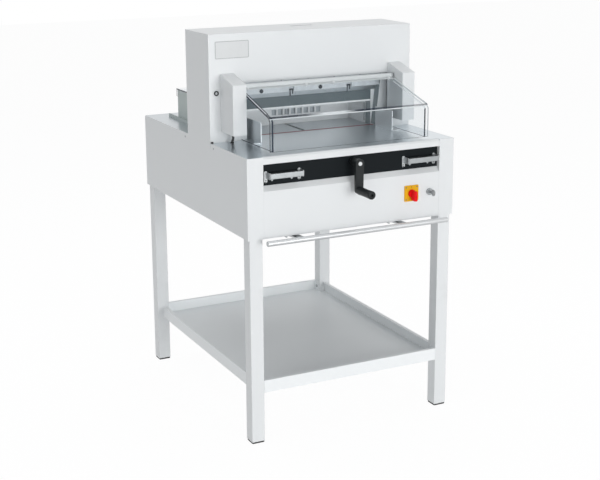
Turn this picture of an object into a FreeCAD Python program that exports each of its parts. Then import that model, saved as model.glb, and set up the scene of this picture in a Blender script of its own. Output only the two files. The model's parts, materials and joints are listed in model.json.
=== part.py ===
"""Electric paper cutter on a tubular stand, built piece by piece in millimetres.

The pieces are laid out in the cabinet's own axes: x = 0 on the machine's middle, y = 0 on the
front face of the cabinet and growing towards the back, z = 0 on the floor. On saving, everything
moves forward by ORIGIN_Y, which puts the origin under the middle of the whole machine.
"""
import FreeCAD, Part
import math
import os

V = FreeCAD.Vector

# Whole machine
WIDTH = 750.0
DEPTH = 912.0
TABLE_Z = 941.0
HEIGHT = TABLE_Z + 352.0
CABINET_Z = TABLE_Z - 259.0
HOUSING_FRONT = 287.0
HOUSING_DEPTH = 197.0
HOUSING_REAR = HOUSING_FRONT + HOUSING_DEPTH
SHEET = 2.0
RUNNING = 0.05
LOOSE = 0.3

# Stand
LEG = 45.0
LEG_WALL = 2.0
LEG_INSET_X = 7.0
LEG_INSET_Y = 5.0
LEG_CAP = 8.0
PAD_HEIGHT = 6.0
PAD_INSET = 1.0
TRAY_Z = 170.0
TRAY_HEIGHT = 41.0
TRAY_SIDE_INSET = 29.0
TRAY_LIP = 12.0
TRAY_TAB = 33.0
BOLT_R = 5.0
BOLT_HEAD_R = 8.5
BOLT_HEAD_H = 7.0

# Cabinet shell
BASE_T = 5.0
POST_WIDTH = 55.0
POST_RETURN = 18.0
REAR_FLANGE = 25.0
CORNER_R = 10.0
RELIEF_R = 3.0
RELIEF_SLIT = 17.0
STRIP_Z0 = TABLE_Z - 92.0
STRIP_Z1 = TABLE_Z - 23.0
STRIP_RECESS = 15.0
STRIP_T = 3.0
BEVEL_RISE = 16.0
NOSE_DEPTH = 14.0
NOSE_WALL = 3.0
NOSE_BEVEL = 6.0
VENT_COUNT = 9
VENT_LENGTH = 90.0
VENT_WIDTH = 5.0
VENT_PITCH = 14.0
INLET_X = 250.0
INLET_Z = CABINET_Z + 63.0
INLET_W = 50.0
INLET_H = 30.0

# Tables and cut
TABLE_T = 8.0
CUT_Y = HOUSING_FRONT + 63.5
WINDOW_LEFT = -230.0
WINDOW_RIGHT = 258.0
TABLE_FLANGE = 22.0
TABLE_FLANGE_T = 3.0
STICK_WIDTH = 14.0
STICK_HEIGHT = 10.0
STICK_PROUD = 0.3
STICK_OVERHANG = 10.0
LAY_LENGTH = 115.0
LAY_FRONT = HOUSING_FRONT - 84.0
LAY_HEIGHT = 69.0
LAY_FOOT = 32.0
LAY_T = 3.0
REAR_LAY_FRONT = CUT_Y + 37.5
REAR_LAY_LENGTH = 252.0
REAR_LAY_HEIGHT = 79.0
REAR_LAY_SLOT_Y0 = REAR_LAY_FRONT + 5.0
REAR_LAY_SLOT_W = 9.0
REAR_LAY_SLOT_EDGE = 7.0
SPINDLE_SLOT = 12.0

# Heavy frame
FRAME_FRONT = HOUSING_FRONT + 65.0
FRAME_DEPTH = 88.0
FRAME_TOP = HEIGHT - 63.0
FRAME_LEFT_W = 60.0
FRAME_RIGHT_W = 46.0
BED_FRONT = FRAME_FRONT - 30.0
BED_REAR = FRAME_FRONT + 48.0
BED_HEIGHT = 83.0
TOP_BEAM_H = 40.0
GUIDE_Z0 = TABLE_Z + 4.0
GUIDE_FRONT = BED_FRONT
GUIDE_TOP = 1190.0

# Housing
COVER_OPEN_LEFT = WINDOW_LEFT - 15.0
COVER_OPEN_RIGHT = WINDOW_RIGHT + 30.0
COVER_OPEN_TOP = TABLE_Z + 189.0
REAR_OPEN_X = WINDOW_RIGHT + 32.0
REAR_OPEN_Z = TABLE_Z + 105.0
COVER_FLANGE = 20.0
TOP_SLOT_X = 17.0
TOP_SLOT_Y = HOUSING_FRONT + 122.0
TOP_SLOT_L = 86.0
TOP_SLOT_W = 12.0
PLATE_X0 = 22.0 - WIDTH / 2
PLATE_W = 120.0
PLATE_Z0 = HEIGHT - 81.0
PLATE_H = 58.0
PLATE_T = 0.8
PLATE_R = 4.0
LOCK_X = WIDTH / 2 - 24.0
LOCK_Z = TABLE_Z + 162.0
LOCK_R = 8.0
PANEL_SCREW_Y = 25.0
PANEL_SCREW_DROP = 13.0
PANEL_SCREW_R = 3.5
PANEL_SCREW_PROUD = 1.0

# Columns and front guard
COLUMN_IN = COVER_OPEN_RIGHT
COLUMN_W = 48.0
COLUMN_DEPTH = 100.0
COLUMN_Z0 = TABLE_Z + 36.0
COLUMN_REAR_TOP = TABLE_Z + 224.0
COLUMN_FRONT_TOP = TABLE_Z + 198.0
COLUMN_WALL = 3.0
COLUMN_R = 2.5
HINGE_Y = HOUSING_FRONT - 38.0
HINGE_Z = TABLE_Z + 180.0
HINGE_PIN_R = 5.0
HINGE_PIN_REACH = 9.0
RAIL_DEPTH = 14.0
RAIL_BELOW = 6.0
RAIL_ABOVE = 12.0
RAIL_R = 3.0
GUARD_GAP = 2.0
PANE_T = 6.0
PANE_FRONT = 18.0
PANE_BOTTOM = TABLE_Z + 9.0
PANE_BEND_Z = TABLE_Z + 104.0
PANE_SLOPE_Y = 28.0
PANE_SLOPE_Z = TABLE_Z + 118.0
PANE_TOP_Z = HINGE_Z - 3.0
PANE_START = 2.0
SIDE_PANE_REAR = HOUSING_FRONT - 25.0
SIDE_PANE_DROP = 10.0
SIDE_PANE_INSET = 7.0
LIP_LENGTH = 11.0
LIP_T = 3.0
GUARD_SCREW_R = 4.5
GUARD_SCREW_H = 2.0
GUARD_SCREW_X = (-262.0, -51.0, 51.0, 262.0)
LEAD_R = 4.0
LEAD_X = -COLUMN_IN - 21.0
LEAD_Y = HOUSING_FRONT - 25.0
LEAD_SWAY = 8.0

# Rear guard
REAR_PLATE_X = REAR_OPEN_X + 10.0
REAR_PLATE_Y1 = DEPTH - 152.0
REAR_RAIL_Y1 = DEPTH - 69.0
REAR_RAIL_H = 12.0
REAR_RAIL_W = 5.0
LID_T = 5.0
LID_Z = TABLE_Z + 109.0
LID_OVERHANG = 2.0
LID_REAR = REAR_PLATE_Y1 + LID_T + 1.0
LID_DROP = 24.0
LID_HINGE_Y = HOUSING_REAR + 9.0
LID_HINGE_Z = LID_Z + 7.0
LID_BARREL_R = 6.0
LID_PIN_R = 4.0
LID_EAR = 17.0

# Blade and its drive
BLADE_T = 9.5
BLADE_Z = TABLE_Z + 125.0
BLADE_HEIGHT = 74.0
BLADE_BEVEL = 20.0
CARRIER_T = 16.0
CARRIER_Z = BLADE_Z + 18.0
CARRIER_HEIGHT = 100.0
CARRIER_LEFT = WINDOW_LEFT - 8.0
CARRIER_RIGHT = WINDOW_RIGHT + 18.0
STROKE = 124.0
SIDE_TRAVEL = 14.0
GUIDE_CLEAR = 0.1
ARM_T = 12.0
ARM_HEIGHT = 40.0
ARM_END = WINDOW_LEFT + 50.0
ARM_BOSS = 7.0
ARM_BOSS_LEFT = WINDOW_LEFT + 6.0
BOLT_LOW_X = (-173.0, 47.0)
BOLT_LOW_Z = CARRIER_Z + 8.0
BOLT_HIGH_X = (-100.0, 0.0, 100.0, 200.0)
BOLT_HIGH_Z = CARRIER_Z + 46.0
BLADE_BOLT_R = 7.0
BLADE_BOLT_PROUD = 2.0
NOTCH_X = (-62.0, 158.0)
NOTCH_W = 20.0
NOTCH_Z0 = CARRIER_Z + 2.0
NOTCH_H = 16.0
NOTCH_DEPTH = 6.0
ROD_X = WINDOW_LEFT - 55.0
ROD_W = 24.0
ROD_PIN_R = 8.0
ROD_LOW_Z = TABLE_Z - 89.0
ROD_SLOT_CLEAR = 4.0
DISC_R = 76.0
DISC_T = 12.0
DISC_SHAFT_R = 14.0
DISC_SHAFT_L = 45.0
CRANKPIN_R = 9.0
GEARBOX_W = 116.0
GEARBOX_DEPTH = 116.0
GEARBOX_TOP = TABLE_Z - 91.0
MOTOR_R = 56.0
MOTOR_L = 210.0
MOTOR_FOOT_W = 90.0
MOTOR_FOOT_L = 140.0
BOX_X0 = WIDTH / 2 - 255.0
BOX_W = 180.0
BOX_Y0 = 120.0
BOX_DEPTH = 180.0
BOX_H = 110.0

# Clamp
CLAMP_Z = TABLE_Z + 84.0
CLAMP_HEIGHT = 80.0
CLAMP_DEPTH = 34.0
CLAMP_GAP = 1.0
CLAMP_SIDE_GAP = 0.5
CLAMP_SCREW_R = 12.0
CLAMP_NECK_R = 16.0
CLAMP_NECK_TOP = CLAMP_Z + 125.0
CLAMP_SCREW_X = (WINDOW_LEFT + WINDOW_RIGHT) / 2 - 1.0
CLAMP_SCREW_Z0 = CLAMP_Z + 8.0
CLAMP_SCREW_Z1 = FRAME_TOP + 32.0
CLAMP_MOTOR_W = 120.0
CLAMP_MOTOR_DEPTH = 84.0
CLAMP_MOTOR_H = 54.0

# Back gauge and its spindle
GAUGE_Y = CUT_Y + 151.5
GAUGE_LEFT = WINDOW_LEFT + 6.0
GAUGE_RIGHT = WINDOW_RIGHT - 6.0
GAUGE_TOP = TABLE_Z + 60.0
GAUGE_T = 4.0
GAUGE_LIFT = 0.5
GAUGE_FLANGE = 16.0
GAUGE_SLOTS = 8
GAUGE_SLOT_X0 = -53.0
GAUGE_SLOT_PITCH = 25.0
GAUGE_SLOT_W = 18.0
GAUGE_SLOT_Z0 = TABLE_Z + 33.0
GAUGE_SLOT_H = 20.0
GAUGE_RIB_T = 6.0
CARRIAGE_W = 80.0
CARRIAGE_DEPTH = 54.0
CARRIAGE_FOOT_T = 8.0
NUT_W = 40.0
NUT_DEPTH = 30.0
NUT_DROP = 17.0
NECK_W = 10.0
SPINDLE_Z = TABLE_Z - 44.0
SPINDLE_R = 8.0
SPINDLE_REAR = DEPTH - 12.0
BEARING_R = 15.0
BEARING_T = 12.0
BEARING_PLATE_W = 60.0
BEARING_PLATE_T = 8.0
REAR_BEARING_Y = DEPTH - 32.0

# Crank handle
CRANK_ARM_Y0 = -37.0
CRANK_ARM_T = 14.0
CRANK_HUB_R = 15.0
CRANK_COLLAR_R = 12.0
CRANK_COLLAR_Y1 = 8.0
CRANK_RADIUS = 87.0
CRANK_END_R = 12.5
GRIP_R = 13.5
GRIP_REACH = 115.0
GRIP_PIN_R = 5.0
GRIP_HEX_R = 5.5
GRIP_HEX_DEPTH = 8.0
CRANK_SCREW_R = 4.0
CRANK_SCREW_HEAD_R = 6.5
CRANK_SCREW_HEAD_H = 3.0
CRANK_SCREW_L = 22.0

# Two-hand release bars
RELEASE_OUT = WIDTH / 2 - POST_WIDTH - 9.0
RELEASE_LENGTH = 126.0
RELEASE_Z = TABLE_Z - 60.5
RELEASE_BAR_H = 17.0
RELEASE_FACE_Y = -13.0
RELEASE_BAR_T = 1.5
RELEASE_BACK_Y = 8.0
RELEASE_PIN_Y = 3.0
RELEASE_PIN_R = 2.5
EAR_T = 2.0
EAR_H = 21.0
EAR_FRONT_Y = -10.0
TAB_W = 10.5
TAB_H = 36.5
TAB_DROP = 4.5
EAR_SCREW_RISE = 13.5
EAR_SCREW_R = 3.0
EAR_SCREW_H = 2.5
EAR_SLOT_W = 5.0
EAR_SLOT_H = 9.0
EAR_STUD_R = 2.0
RELEASE_TOOTH_Y = -6.0
RELEASE_TOOTH_T = 2.0
RELEASE_TOOTH_W = 13.0
RELEASE_TOOTH_H = 6.5
RELEASE_TOOTH_AT = (7.0, 74.5)

# Switch and key
SWITCH_X = 213.0
SWITCH_Z = CABINET_Z + 89.0
SWITCH_W = 53.0
SWITCH_T = 3.0
SWITCH_BODY_W = 44.0
SWITCH_BODY_DEPTH = 48.0
KNOB_R = 13.0
KNOB_BASE_H = 8.0
KNOB_H = 28.0
KNOB_GRIP_W = 12.0
KNOB_TAIL = 22.0
KNOB_STEM_R = 4.0
KEY_X = 283.0
KEY_Z = CABINET_Z + 87.0
LOCK_BARREL_R = 9.0
LOCK_BEZEL_R = 11.5
LOCK_BEZEL_T = 5.0
LOCK_DEPTH = 26.0
KEY_BOW_R = 11.0
KEY_T = 2.4
KEY_SHANK_W = 8.0
KEY_SHANK_L = 12.0
KEY_INSIDE = 10.0

# Knee bar under the front
KNEE_Y = -42.0
KNEE_Z = CABINET_Z - 4.5
KNEE_R = 8.5
KNEE_HALF = WIDTH / 2 - 47.0
KNEE_ARM_X = (-203.0, 174.0)
KNEE_ARM_W = 28.0
KNEE_ARM_T = 5.0
KNEE_PIVOT_Y = 60.0
KNEE_PIVOT_Z = CABINET_Z - 11.0
KNEE_PIN_R = 4.0
KNEE_EYE_R = 8.0
KNEE_EAR_T = 3.0
KNEE_EAR_GAP = 0.5
KNEE_EAR_D = 30.0

# Worked out from the sizes above
HALF = WIDTH / 2
INNER = HALF - SHEET
POST_IN = HALF - POST_WIDTH
FLOOR_Z = CABINET_Z + BASE_T
TABLE_UNDER = TABLE_Z - TABLE_T
LEG_X0 = HALF - LEG_INSET_X - LEG
LEG_Y = (LEG_INSET_Y, DEPTH - LEG_INSET_Y - LEG)
TRAY_X = HALF - TRAY_SIDE_INSET
FRAME_REAR = FRAME_FRONT + FRAME_DEPTH
FRAME_LEFT = WINDOW_LEFT - FRAME_LEFT_W
FRAME_RIGHT = WINDOW_RIGHT + FRAME_RIGHT_W
STICK_Y0 = CUT_Y - STICK_WIDTH / 2 - 1.5
STICK_Y1 = STICK_Y0 + STICK_WIDTH
BLADE_Y0 = CUT_Y - BLADE_T
CARRIER_Y0 = BLADE_Y0 - CARRIER_T
ARM_Y1 = CARRIER_Y0 - ARM_BOSS
ARM_Y0 = ARM_Y1 - ARM_T
ROD_Y0 = ARM_Y0 - ARM_T
ARM_Z0 = CARRIER_Z + CARRIER_HEIGHT - ARM_HEIGHT - 4.0
DISC_Z = ROD_LOW_Z - STROKE / 2
DISC_X = ROD_X - SIDE_TRAVEL / 2
DISC_Y1 = ROD_Y0 - 4.0
DISC_Y0 = DISC_Y1 - DISC_T
GEARBOX_Y1 = DISC_Y0 - 1.0
GEARBOX_Y0 = GEARBOX_Y1 - GEARBOX_DEPTH
CLAMP_Y0 = CUT_Y + CLAMP_GAP
CLAMP_Y1 = CLAMP_Y0 + CLAMP_DEPTH
CLAMP_SCREW_Y = (CLAMP_Y0 + CLAMP_Y1) / 2
CRANK_ARM_Y1 = CRANK_ARM_Y0 + CRANK_ARM_T
REAR_PLATE_TOP = LID_Z - LOOSE
ORIGIN_Y = (DEPTH - GRIP_REACH) / 2


def block(x0, x1, y0, y1, z0, z1):
    """Box between two corners given as x, y and z spans."""
    return Part.makeBox(x1 - x0, y1 - y0, z1 - z0, V(x0, y0, z0))


def rod(start, end, radius):
    """Round bar between two points."""
    axis = V(*end) - V(*start)
    return Part.makeCylinder(radius, axis.Length, V(*start), axis)


def face_of(points):
    """Flat face bounded by straight lines through the points."""
    corners = [V(*p) for p in points]
    return Part.Face(Part.makePolygon(corners + corners[:1]))


def prism_x(profile, x0, x1):
    """Solid of a y-z outline drawn out from x0 to x1."""
    return face_of([(x0, y, z) for y, z in profile]).extrude(V(x1 - x0, 0, 0))


def prism_y(profile, y0, y1):
    """Solid of an x-z outline drawn out from y0 to y1."""
    return face_of([(x, y0, z) for x, z in profile]).extrude(V(0, y1 - y0, 0))


def joined(*shapes):
    """One clean solid made of shapes that touch or overlap."""
    return shapes[0].fuse(list(shapes[1:])).removeSplitter()


def mirrored(shape):
    """The same piece on the other side of the machine's middle plane."""
    return shape.mirror(V(0, 0, 0), V(1, 0, 0))


def upright_edges(shape, axis):
    """Straight edges that run along one axis: 0 for x, 1 for y, 2 for z."""
    chosen = []
    for edge in shape.Edges:
        if isinstance(edge.Curve, Part.Line) and abs(abs(edge.Curve.Direction[axis]) - 1) < 1e-6:
            chosen.append(edge)
    return chosen


def rounded_block(spans, radius, axis):
    """Box whose four edges along one axis are rounded."""
    shape = block(*spans)
    return shape.makeFillet(radius, upright_edges(shape, axis))


def save(name, *solids):
    """Write one piece, or a group of like pieces, with the origin under the machine's middle."""
    shape = solids[0] if len(solids) == 1 else Part.makeCompound(list(solids))
    moved = shape.copy()
    moved.translate(V(0, -ORIGIN_Y, 0))
    moved.exportStep("parts/" + name + ".step")


def leg(x0, y0):
    """Square tube with a welded cap at each end, the upper one bored for its bolt."""
    bottom = PAD_HEIGHT
    tube = block(x0, x0 + LEG, y0, y0 + LEG, bottom, CABINET_Z)
    hollow = block(x0 + LEG_WALL, x0 + LEG - LEG_WALL, y0 + LEG_WALL, y0 + LEG - LEG_WALL,
                   bottom + LEG_WALL, CABINET_Z - LEG_CAP)
    tube = tube.cut(hollow)
    tube = tube.makeFillet(LEG_WALL, [e for e in upright_edges(tube, 2)
                                      if abs(e.Length - (CABINET_Z - bottom)) < 1e-3])
    cx, cy = x0 + LEG / 2, y0 + LEG / 2
    tube = tube.cut(rod((cx, cy, CABINET_Z - LEG_CAP - 1), (cx, cy, CABINET_Z + 1), BOLT_R + RUNNING))
    side = 1 if x0 > 0 else -1
    wall_x = x0 if side > 0 else x0 + LEG
    hole_y = tray_hole_y(y0)
    return tube.cut(rod((wall_x - side * LEG_WALL, hole_y, tray_screw_z()),
                        (wall_x + 3 * side * LEG_WALL, hole_y, tray_screw_z()), BOLT_R / 2 + RUNNING))


def tray_screw_z():
    """Height of the screws that hold the tray."""
    return TRAY_Z + TRAY_HEIGHT / 2


def tray_hole_y(leg_y):
    """Depth at which the screw through a tray tab meets the leg that starts at leg_y."""
    inward = 1 if leg_y < DEPTH / 2 else -1
    return leg_y + LEG / 2 + inward * 2.0


def leg_corners():
    """Lower x and y of the four legs."""
    return [(x, y) for x in (-LEG_X0 - LEG, LEG_X0) for y in LEG_Y]


def build_stand():
    """Four legs, their rubber pads and the sheet tray low between them."""
    save("legs", *[leg(x, y) for x, y in leg_corners()])
    save("foot_pads", *[rounded_block((x + PAD_INSET, x + LEG - PAD_INSET, y + PAD_INSET,
                                       y + LEG - PAD_INSET, 0, PAD_HEIGHT), 3.0, 2)
                        for x, y in leg_corners()])
    save("shelf_tray", tray())


def tray():
    """Folded tray: floor notched round the legs, four upright rims, each with a lip turned in."""
    top = TRAY_Z + TRAY_HEIGHT
    y0, y1 = LEG_INSET_Y, DEPTH - LEG_INSET_Y
    leg_in = LEG_X0
    leg_back = LEG_INSET_Y + LEG
    floor = block(-TRAY_X, TRAY_X, y0, y1, TRAY_Z, TRAY_Z + SHEET)
    for x in (-TRAY_X, leg_in):
        for y in (y0, y1 - LEG):
            floor = floor.cut(block(x, x + TRAY_X - leg_in, y, y + LEG, TRAY_Z - 1, top))
    pieces = [floor]
    for near, inner in ((y0, y0 + SHEET), (y1 - SHEET, y1)):
        pieces.append(block(-leg_in, leg_in, near, inner, TRAY_Z, top))
    pieces.append(block(-leg_in, leg_in, y0, y0 + TRAY_LIP, top - SHEET, top))
    pieces.append(block(-leg_in, leg_in, y1 - TRAY_LIP, y1, top - SHEET, top))
    for side in (-1, 1):
        xs = sorted((side * TRAY_X, side * (TRAY_X - SHEET)))
        lip = sorted((side * TRAY_X, side * (TRAY_X - TRAY_LIP)))
        pieces.append(block(xs[0], xs[1], leg_back, DEPTH - leg_back, TRAY_Z, top))
        pieces.append(block(lip[0], lip[1], leg_back, DEPTH - leg_back, top - SHEET, top))
        tab = sorted((side * leg_in, side * (leg_in - SHEET)))
        pieces.append(block(tab[0], tab[1], y0, y0 + TRAY_TAB, TRAY_Z, top))
        pieces.append(block(tab[0], tab[1], y1 - TRAY_TAB, y1, TRAY_Z, top))
    shell = joined(*pieces)
    for x, y in leg_corners():
        shell = shell.cut(rod((x - LEG, tray_hole_y(y), tray_screw_z()),
                              (x + 2 * LEG, tray_hole_y(y), tray_screw_z()), BOLT_R / 2 + RUNNING))
    return shell


def leg_bolt(x, y):
    """Bolt down through the base plate into the cap of a leg."""
    cx, cy = x + LEG / 2, y + LEG / 2
    shank = rod((cx, cy, CABINET_Z - LEG_CAP), (cx, cy, FLOOR_Z), BOLT_R)
    return joined(shank, rod((cx, cy, FLOOR_Z), (cx, cy, FLOOR_Z + BOLT_HEAD_H), BOLT_HEAD_R))


def tray_screw(x, y):
    """Screw through a tab of the tray into the inner wall of a leg."""
    side = 1 if x > 0 else -1
    wall = x if side > 0 else x + LEG
    at_y, at_z = tray_hole_y(y), tray_screw_z()
    shank = rod((wall - side * SHEET, at_y, at_z), (wall + side * LEG_WALL, at_y, at_z), BOLT_R / 2)
    head = rod((wall - side * SHEET, at_y, at_z), (wall - side * (SHEET + 4), at_y, at_z), BOLT_R)
    return joined(shank, head)


def panel_screw(side, y):
    """Flat-headed screw through a side panel into the edge of the table."""
    z = TABLE_Z - PANEL_SCREW_DROP
    start, end = side * (INNER - TABLE_FLANGE_T), side * (HALF + PANEL_SCREW_PROUD)
    shank = rod((start, y, z), (side * HALF, y, z), PANEL_SCREW_R / 2)
    return joined(shank, rod((side * HALF, y, z), (end, y, z), PANEL_SCREW_R))


def panel_screw_hole(side, y):
    """Cutter of the hole that a panel screw passes through."""
    z = TABLE_Z - PANEL_SCREW_DROP
    reach = TABLE_FLANGE_T + SHEET
    return rod((side * (INNER - reach), y, z), (side * (INNER + reach), y, z), PANEL_SCREW_R / 2 + RUNNING)


def panel_screw_places():
    """Side and depth of the screws beside the housing's foot."""
    depths = (HOUSING_FRONT - PANEL_SCREW_Y, HOUSING_REAR + PANEL_SCREW_Y)
    return [(side, y) for side in (-1, 1) for y in depths]


def lock_screw(side):
    """Quarter-turn screw that holds the housing's front cover."""
    x = side * LOCK_X
    shank = rod((x, HOUSING_FRONT, LOCK_Z), (x, HOUSING_FRONT + 10, LOCK_Z), LOCK_R / 2)
    head = rod((x, HOUSING_FRONT, LOCK_Z), (x, HOUSING_FRONT - 2.5, LOCK_Z), LOCK_R)
    return joined(shank, head.makeFillet(1.0, [head.Edges[0]]))


def build_screws():
    """All the fixed screws of the stand and the covers, each its own solid."""
    screws = [leg_bolt(x, y) for x, y in leg_corners()]
    screws += [tray_screw(x, y) for x, y in leg_corners()]
    screws += [panel_screw(side, y) for side, y in panel_screw_places()]
    screws += [lock_screw(side) for side in (-1, 1)]
    for x in release_ear_places():
        screws += ear_screws(x)
    save("fixing_screws", *screws)


def side_panel():
    """Right side: one sheet for cabinet and housing, folded round the front corner post."""
    outline = [(0, CABINET_Z), (DEPTH, CABINET_Z), (DEPTH, TABLE_Z), (HOUSING_REAR, TABLE_Z),
               (HOUSING_REAR, HEIGHT), (HOUSING_FRONT, HEIGHT), (HOUSING_FRONT, TABLE_Z), (0, TABLE_Z)]
    sheet = prism_x(outline, INNER, HALF)
    rear_corner = [e for e in upright_edges(sheet, 0)
                   if abs(e.Vertexes[0].Y - DEPTH) < 1e-3 and abs(e.Vertexes[0].Z - TABLE_Z) < 1e-3]
    sheet = sheet.makeFillet(CORNER_R, rear_corner)
    relief = rod((INNER - 1, HOUSING_FRONT, TABLE_Z), (HALF + 1, HOUSING_FRONT, TABLE_Z), RELIEF_R)
    slit = block(INNER - 1, HALF + 1, HOUSING_FRONT - 1, HOUSING_FRONT + 1, TABLE_Z - RELIEF_SLIT, TABLE_Z)
    post = block(POST_IN, INNER, 0, SHEET, CABINET_Z, TABLE_Z)
    post_return = block(POST_IN, POST_IN + SHEET, 0, POST_RETURN, FLOOR_Z, TABLE_UNDER)
    rear = block(HALF - REAR_FLANGE, INNER, DEPTH - SHEET, DEPTH, CABINET_Z, TABLE_UNDER)
    shell = joined(sheet, post, post_return, rear).cut(relief).cut(slit)
    for side, y in panel_screw_places():
        if side > 0:
            shell = shell.cut(panel_screw_hole(side, y))
    return shell


def base_plate():
    """Steel floor of the cabinet, which the legs, the frame and the motor are bolted to."""
    plate = block(-INNER, INNER, SHEET, DEPTH - SHEET, CABINET_Z, FLOOR_Z)
    for x, y in leg_corners():
        cx, cy = x + LEG / 2, y + LEG / 2
        plate = plate.cut(rod((cx, cy, CABINET_Z - 1), (cx, cy, FLOOR_Z + 1), BOLT_R + RUNNING))
    return plate


def front_panel():
    """Lower front sheet whose top edge slopes back into the recess of the control strip."""
    bevel_z = STRIP_Z0 - BEVEL_RISE
    profile = [(0, CABINET_Z), (0, bevel_z), (STRIP_RECESS, STRIP_Z0), (STRIP_RECESS + STRIP_T, STRIP_Z0),
               (STRIP_RECESS + STRIP_T, STRIP_Z0 - SHEET), (STRIP_RECESS + 0.8, STRIP_Z0 - SHEET),
               (SHEET, bevel_z - 0.8), (SHEET, CABINET_Z)]
    sheet = prism_x(profile, -POST_IN, POST_IN)
    hole_y = (-1, SHEET + 1)
    sheet = sheet.cut(rod((SWITCH_X, hole_y[0], SWITCH_Z), (SWITCH_X, hole_y[1], SWITCH_Z), SWITCH_BODY_W / 2 - 4))
    return sheet.cut(rod((KEY_X, hole_y[0], KEY_Z), (KEY_X, hole_y[1], KEY_Z), LOCK_BARREL_R))


def front_rail():
    """White nose in front of the table, hollow below, that roofs the recess."""
    back = STRIP_RECESS + STRIP_T
    profile = [(0, STRIP_Z1), (0, TABLE_Z - NOSE_BEVEL), (NOSE_BEVEL, TABLE_Z), (NOSE_DEPTH, TABLE_Z),
               (NOSE_DEPTH, TABLE_UNDER), (NOSE_BEVEL, TABLE_UNDER), (NOSE_WALL, TABLE_UNDER - 3),
               (NOSE_WALL, STRIP_Z1 + NOSE_WALL), (back, STRIP_Z1 + NOSE_WALL), (back, STRIP_Z1)]
    nose = prism_x(profile, -POST_IN, POST_IN)
    crest = [e for e in upright_edges(nose, 0) if e.Vertexes[0].Z > TABLE_Z - NOSE_BEVEL - 1e-3
             and e.Vertexes[0].Y < NOSE_BEVEL + 1e-3]
    return nose.makeFillet(2.0, crest)


def control_strip():
    """Black strip at the back of the recess, bored for the gauge spindle."""
    plate = block(-POST_IN, POST_IN, STRIP_RECESS, STRIP_RECESS + STRIP_T, STRIP_Z0, STRIP_Z1)
    hole = rod((0, STRIP_RECESS - 1, SPINDLE_Z), (0, STRIP_RECESS + STRIP_T + 1, SPINDLE_Z),
               SPINDLE_R + 4 * LOOSE)
    return plate.cut(hole)


def rear_panel():
    """Back sheet of the cabinet with two banks of cooling slots and the hole of the inlet."""
    y0, y1 = DEPTH - 2 * SHEET, DEPTH - SHEET
    sheet = block(-INNER, INNER, y0, y1, FLOOR_Z, TABLE_UNDER)
    for bank_x in (-200.0, 60.0):
        for i in range(VENT_COUNT):
            z = FLOOR_Z + 60 + i * VENT_PITCH
            sheet = sheet.cut(block(bank_x, bank_x + VENT_LENGTH, y0 - 1, y1 + 1, z, z + VENT_WIDTH))
    return sheet.cut(block(INLET_X - INLET_W / 2 + 4, INLET_X + INLET_W / 2 - 4, y0 - 1, y1 + 1,
                           INLET_Z - INLET_H / 2 + 3, INLET_Z + INLET_H / 2 - 3))


def mains_inlet():
    """Appliance inlet set in the back sheet, with three flat pins in its socket."""
    y1 = DEPTH - 0.2
    flange = rounded_block((INLET_X - INLET_W / 2, INLET_X + INLET_W / 2, DEPTH - SHEET, y1,
                            INLET_Z - INLET_H / 2, INLET_Z + INLET_H / 2), 4.0, 1)
    body = block(INLET_X - INLET_W / 2 + 4, INLET_X + INLET_W / 2 - 4, DEPTH - 32, DEPTH - SHEET,
                 INLET_Z - INLET_H / 2 + 3, INLET_Z + INLET_H / 2 - 3)
    socket = block(INLET_X - 13, INLET_X + 13, DEPTH - 20, DEPTH + 1, INLET_Z - 8, INLET_Z + 8)
    shell = joined(flange, body).cut(socket)
    pins = [block(INLET_X + dx - 1, INLET_X + dx + 1, DEPTH - 21, DEPTH - 6, INLET_Z + dz - 2, INLET_Z + dz + 2)
            for dx, dz in ((-7, -2), (0, 2), (7, -2))]
    return joined(shell, *pins)


def build_cabinet():
    """Sheet metal box under the table."""
    right = side_panel()
    save("side_panel_right", right)
    save("side_panel_left", mirrored(right))
    save("base_plate", base_plate())
    save("front_panel", front_panel())
    save("front_rail", front_rail())
    save("control_strip", control_strip())
    save("rear_panel", rear_panel())
    save("mains_inlet", mains_inlet())


def table_plate(y0, y1):
    """Table plate between two depths, with its side edges folded down and bored for the screws."""
    plate = block(-INNER, INNER, y0, y1, TABLE_UNDER, TABLE_Z)
    low = TABLE_Z - TABLE_FLANGE
    edges = [block(-INNER, TABLE_FLANGE_T - INNER, y0, y1, low, TABLE_Z),
             block(INNER - TABLE_FLANGE_T, INNER, y0, y1, low, TABLE_Z)]
    plate = joined(plate, *edges)
    for side, y in panel_screw_places():
        if y0 < y < y1:
            plate = plate.cut(panel_screw_hole(side, y))
    return plate


def front_table():
    """Plated table in front of the cut, with openings for the pull rod and the guard's lead."""
    plate = table_plate(SHEET, STICK_Y0)
    plate = plate.cut(block(-POST_IN, POST_IN, 0, NOSE_DEPTH, TABLE_UNDER - 1, TABLE_Z + 1))
    slot = block(ROD_X - ROD_W / 2 - SIDE_TRAVEL - ROD_SLOT_CLEAR, ROD_X + ROD_W / 2 + ROD_SLOT_CLEAR,
                 ROD_Y0 - ROD_SLOT_CLEAR, ARM_Y0 + ROD_SLOT_CLEAR, TABLE_UNDER - 1, TABLE_Z + 1)
    plate = plate.cut(slot)
    return plate.cut(rod((LEAD_X, LEAD_Y, TABLE_UNDER - 1), (LEAD_X, LEAD_Y, TABLE_Z + 1), LEAD_R + LOOSE))


def rear_table():
    """Plated table behind the cut, slotted for the gauge and notched round the frame."""
    plate = table_plate(STICK_Y1, DEPTH - 2 * SHEET)
    for x0, x1 in ((FRAME_LEFT, WINDOW_LEFT), (WINDOW_RIGHT, FRAME_RIGHT)):
        plate = plate.cut(block(x0, x1, FRAME_FRONT, FRAME_REAR, TABLE_UNDER - 1, TABLE_Z + 1))
    return plate.cut(block(-SPINDLE_SLOT / 2, SPINDLE_SLOT / 2, STICK_Y1 - 1, REAR_BEARING_Y - 10,
                           TABLE_UNDER - 1, TABLE_Z + 1))


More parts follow.
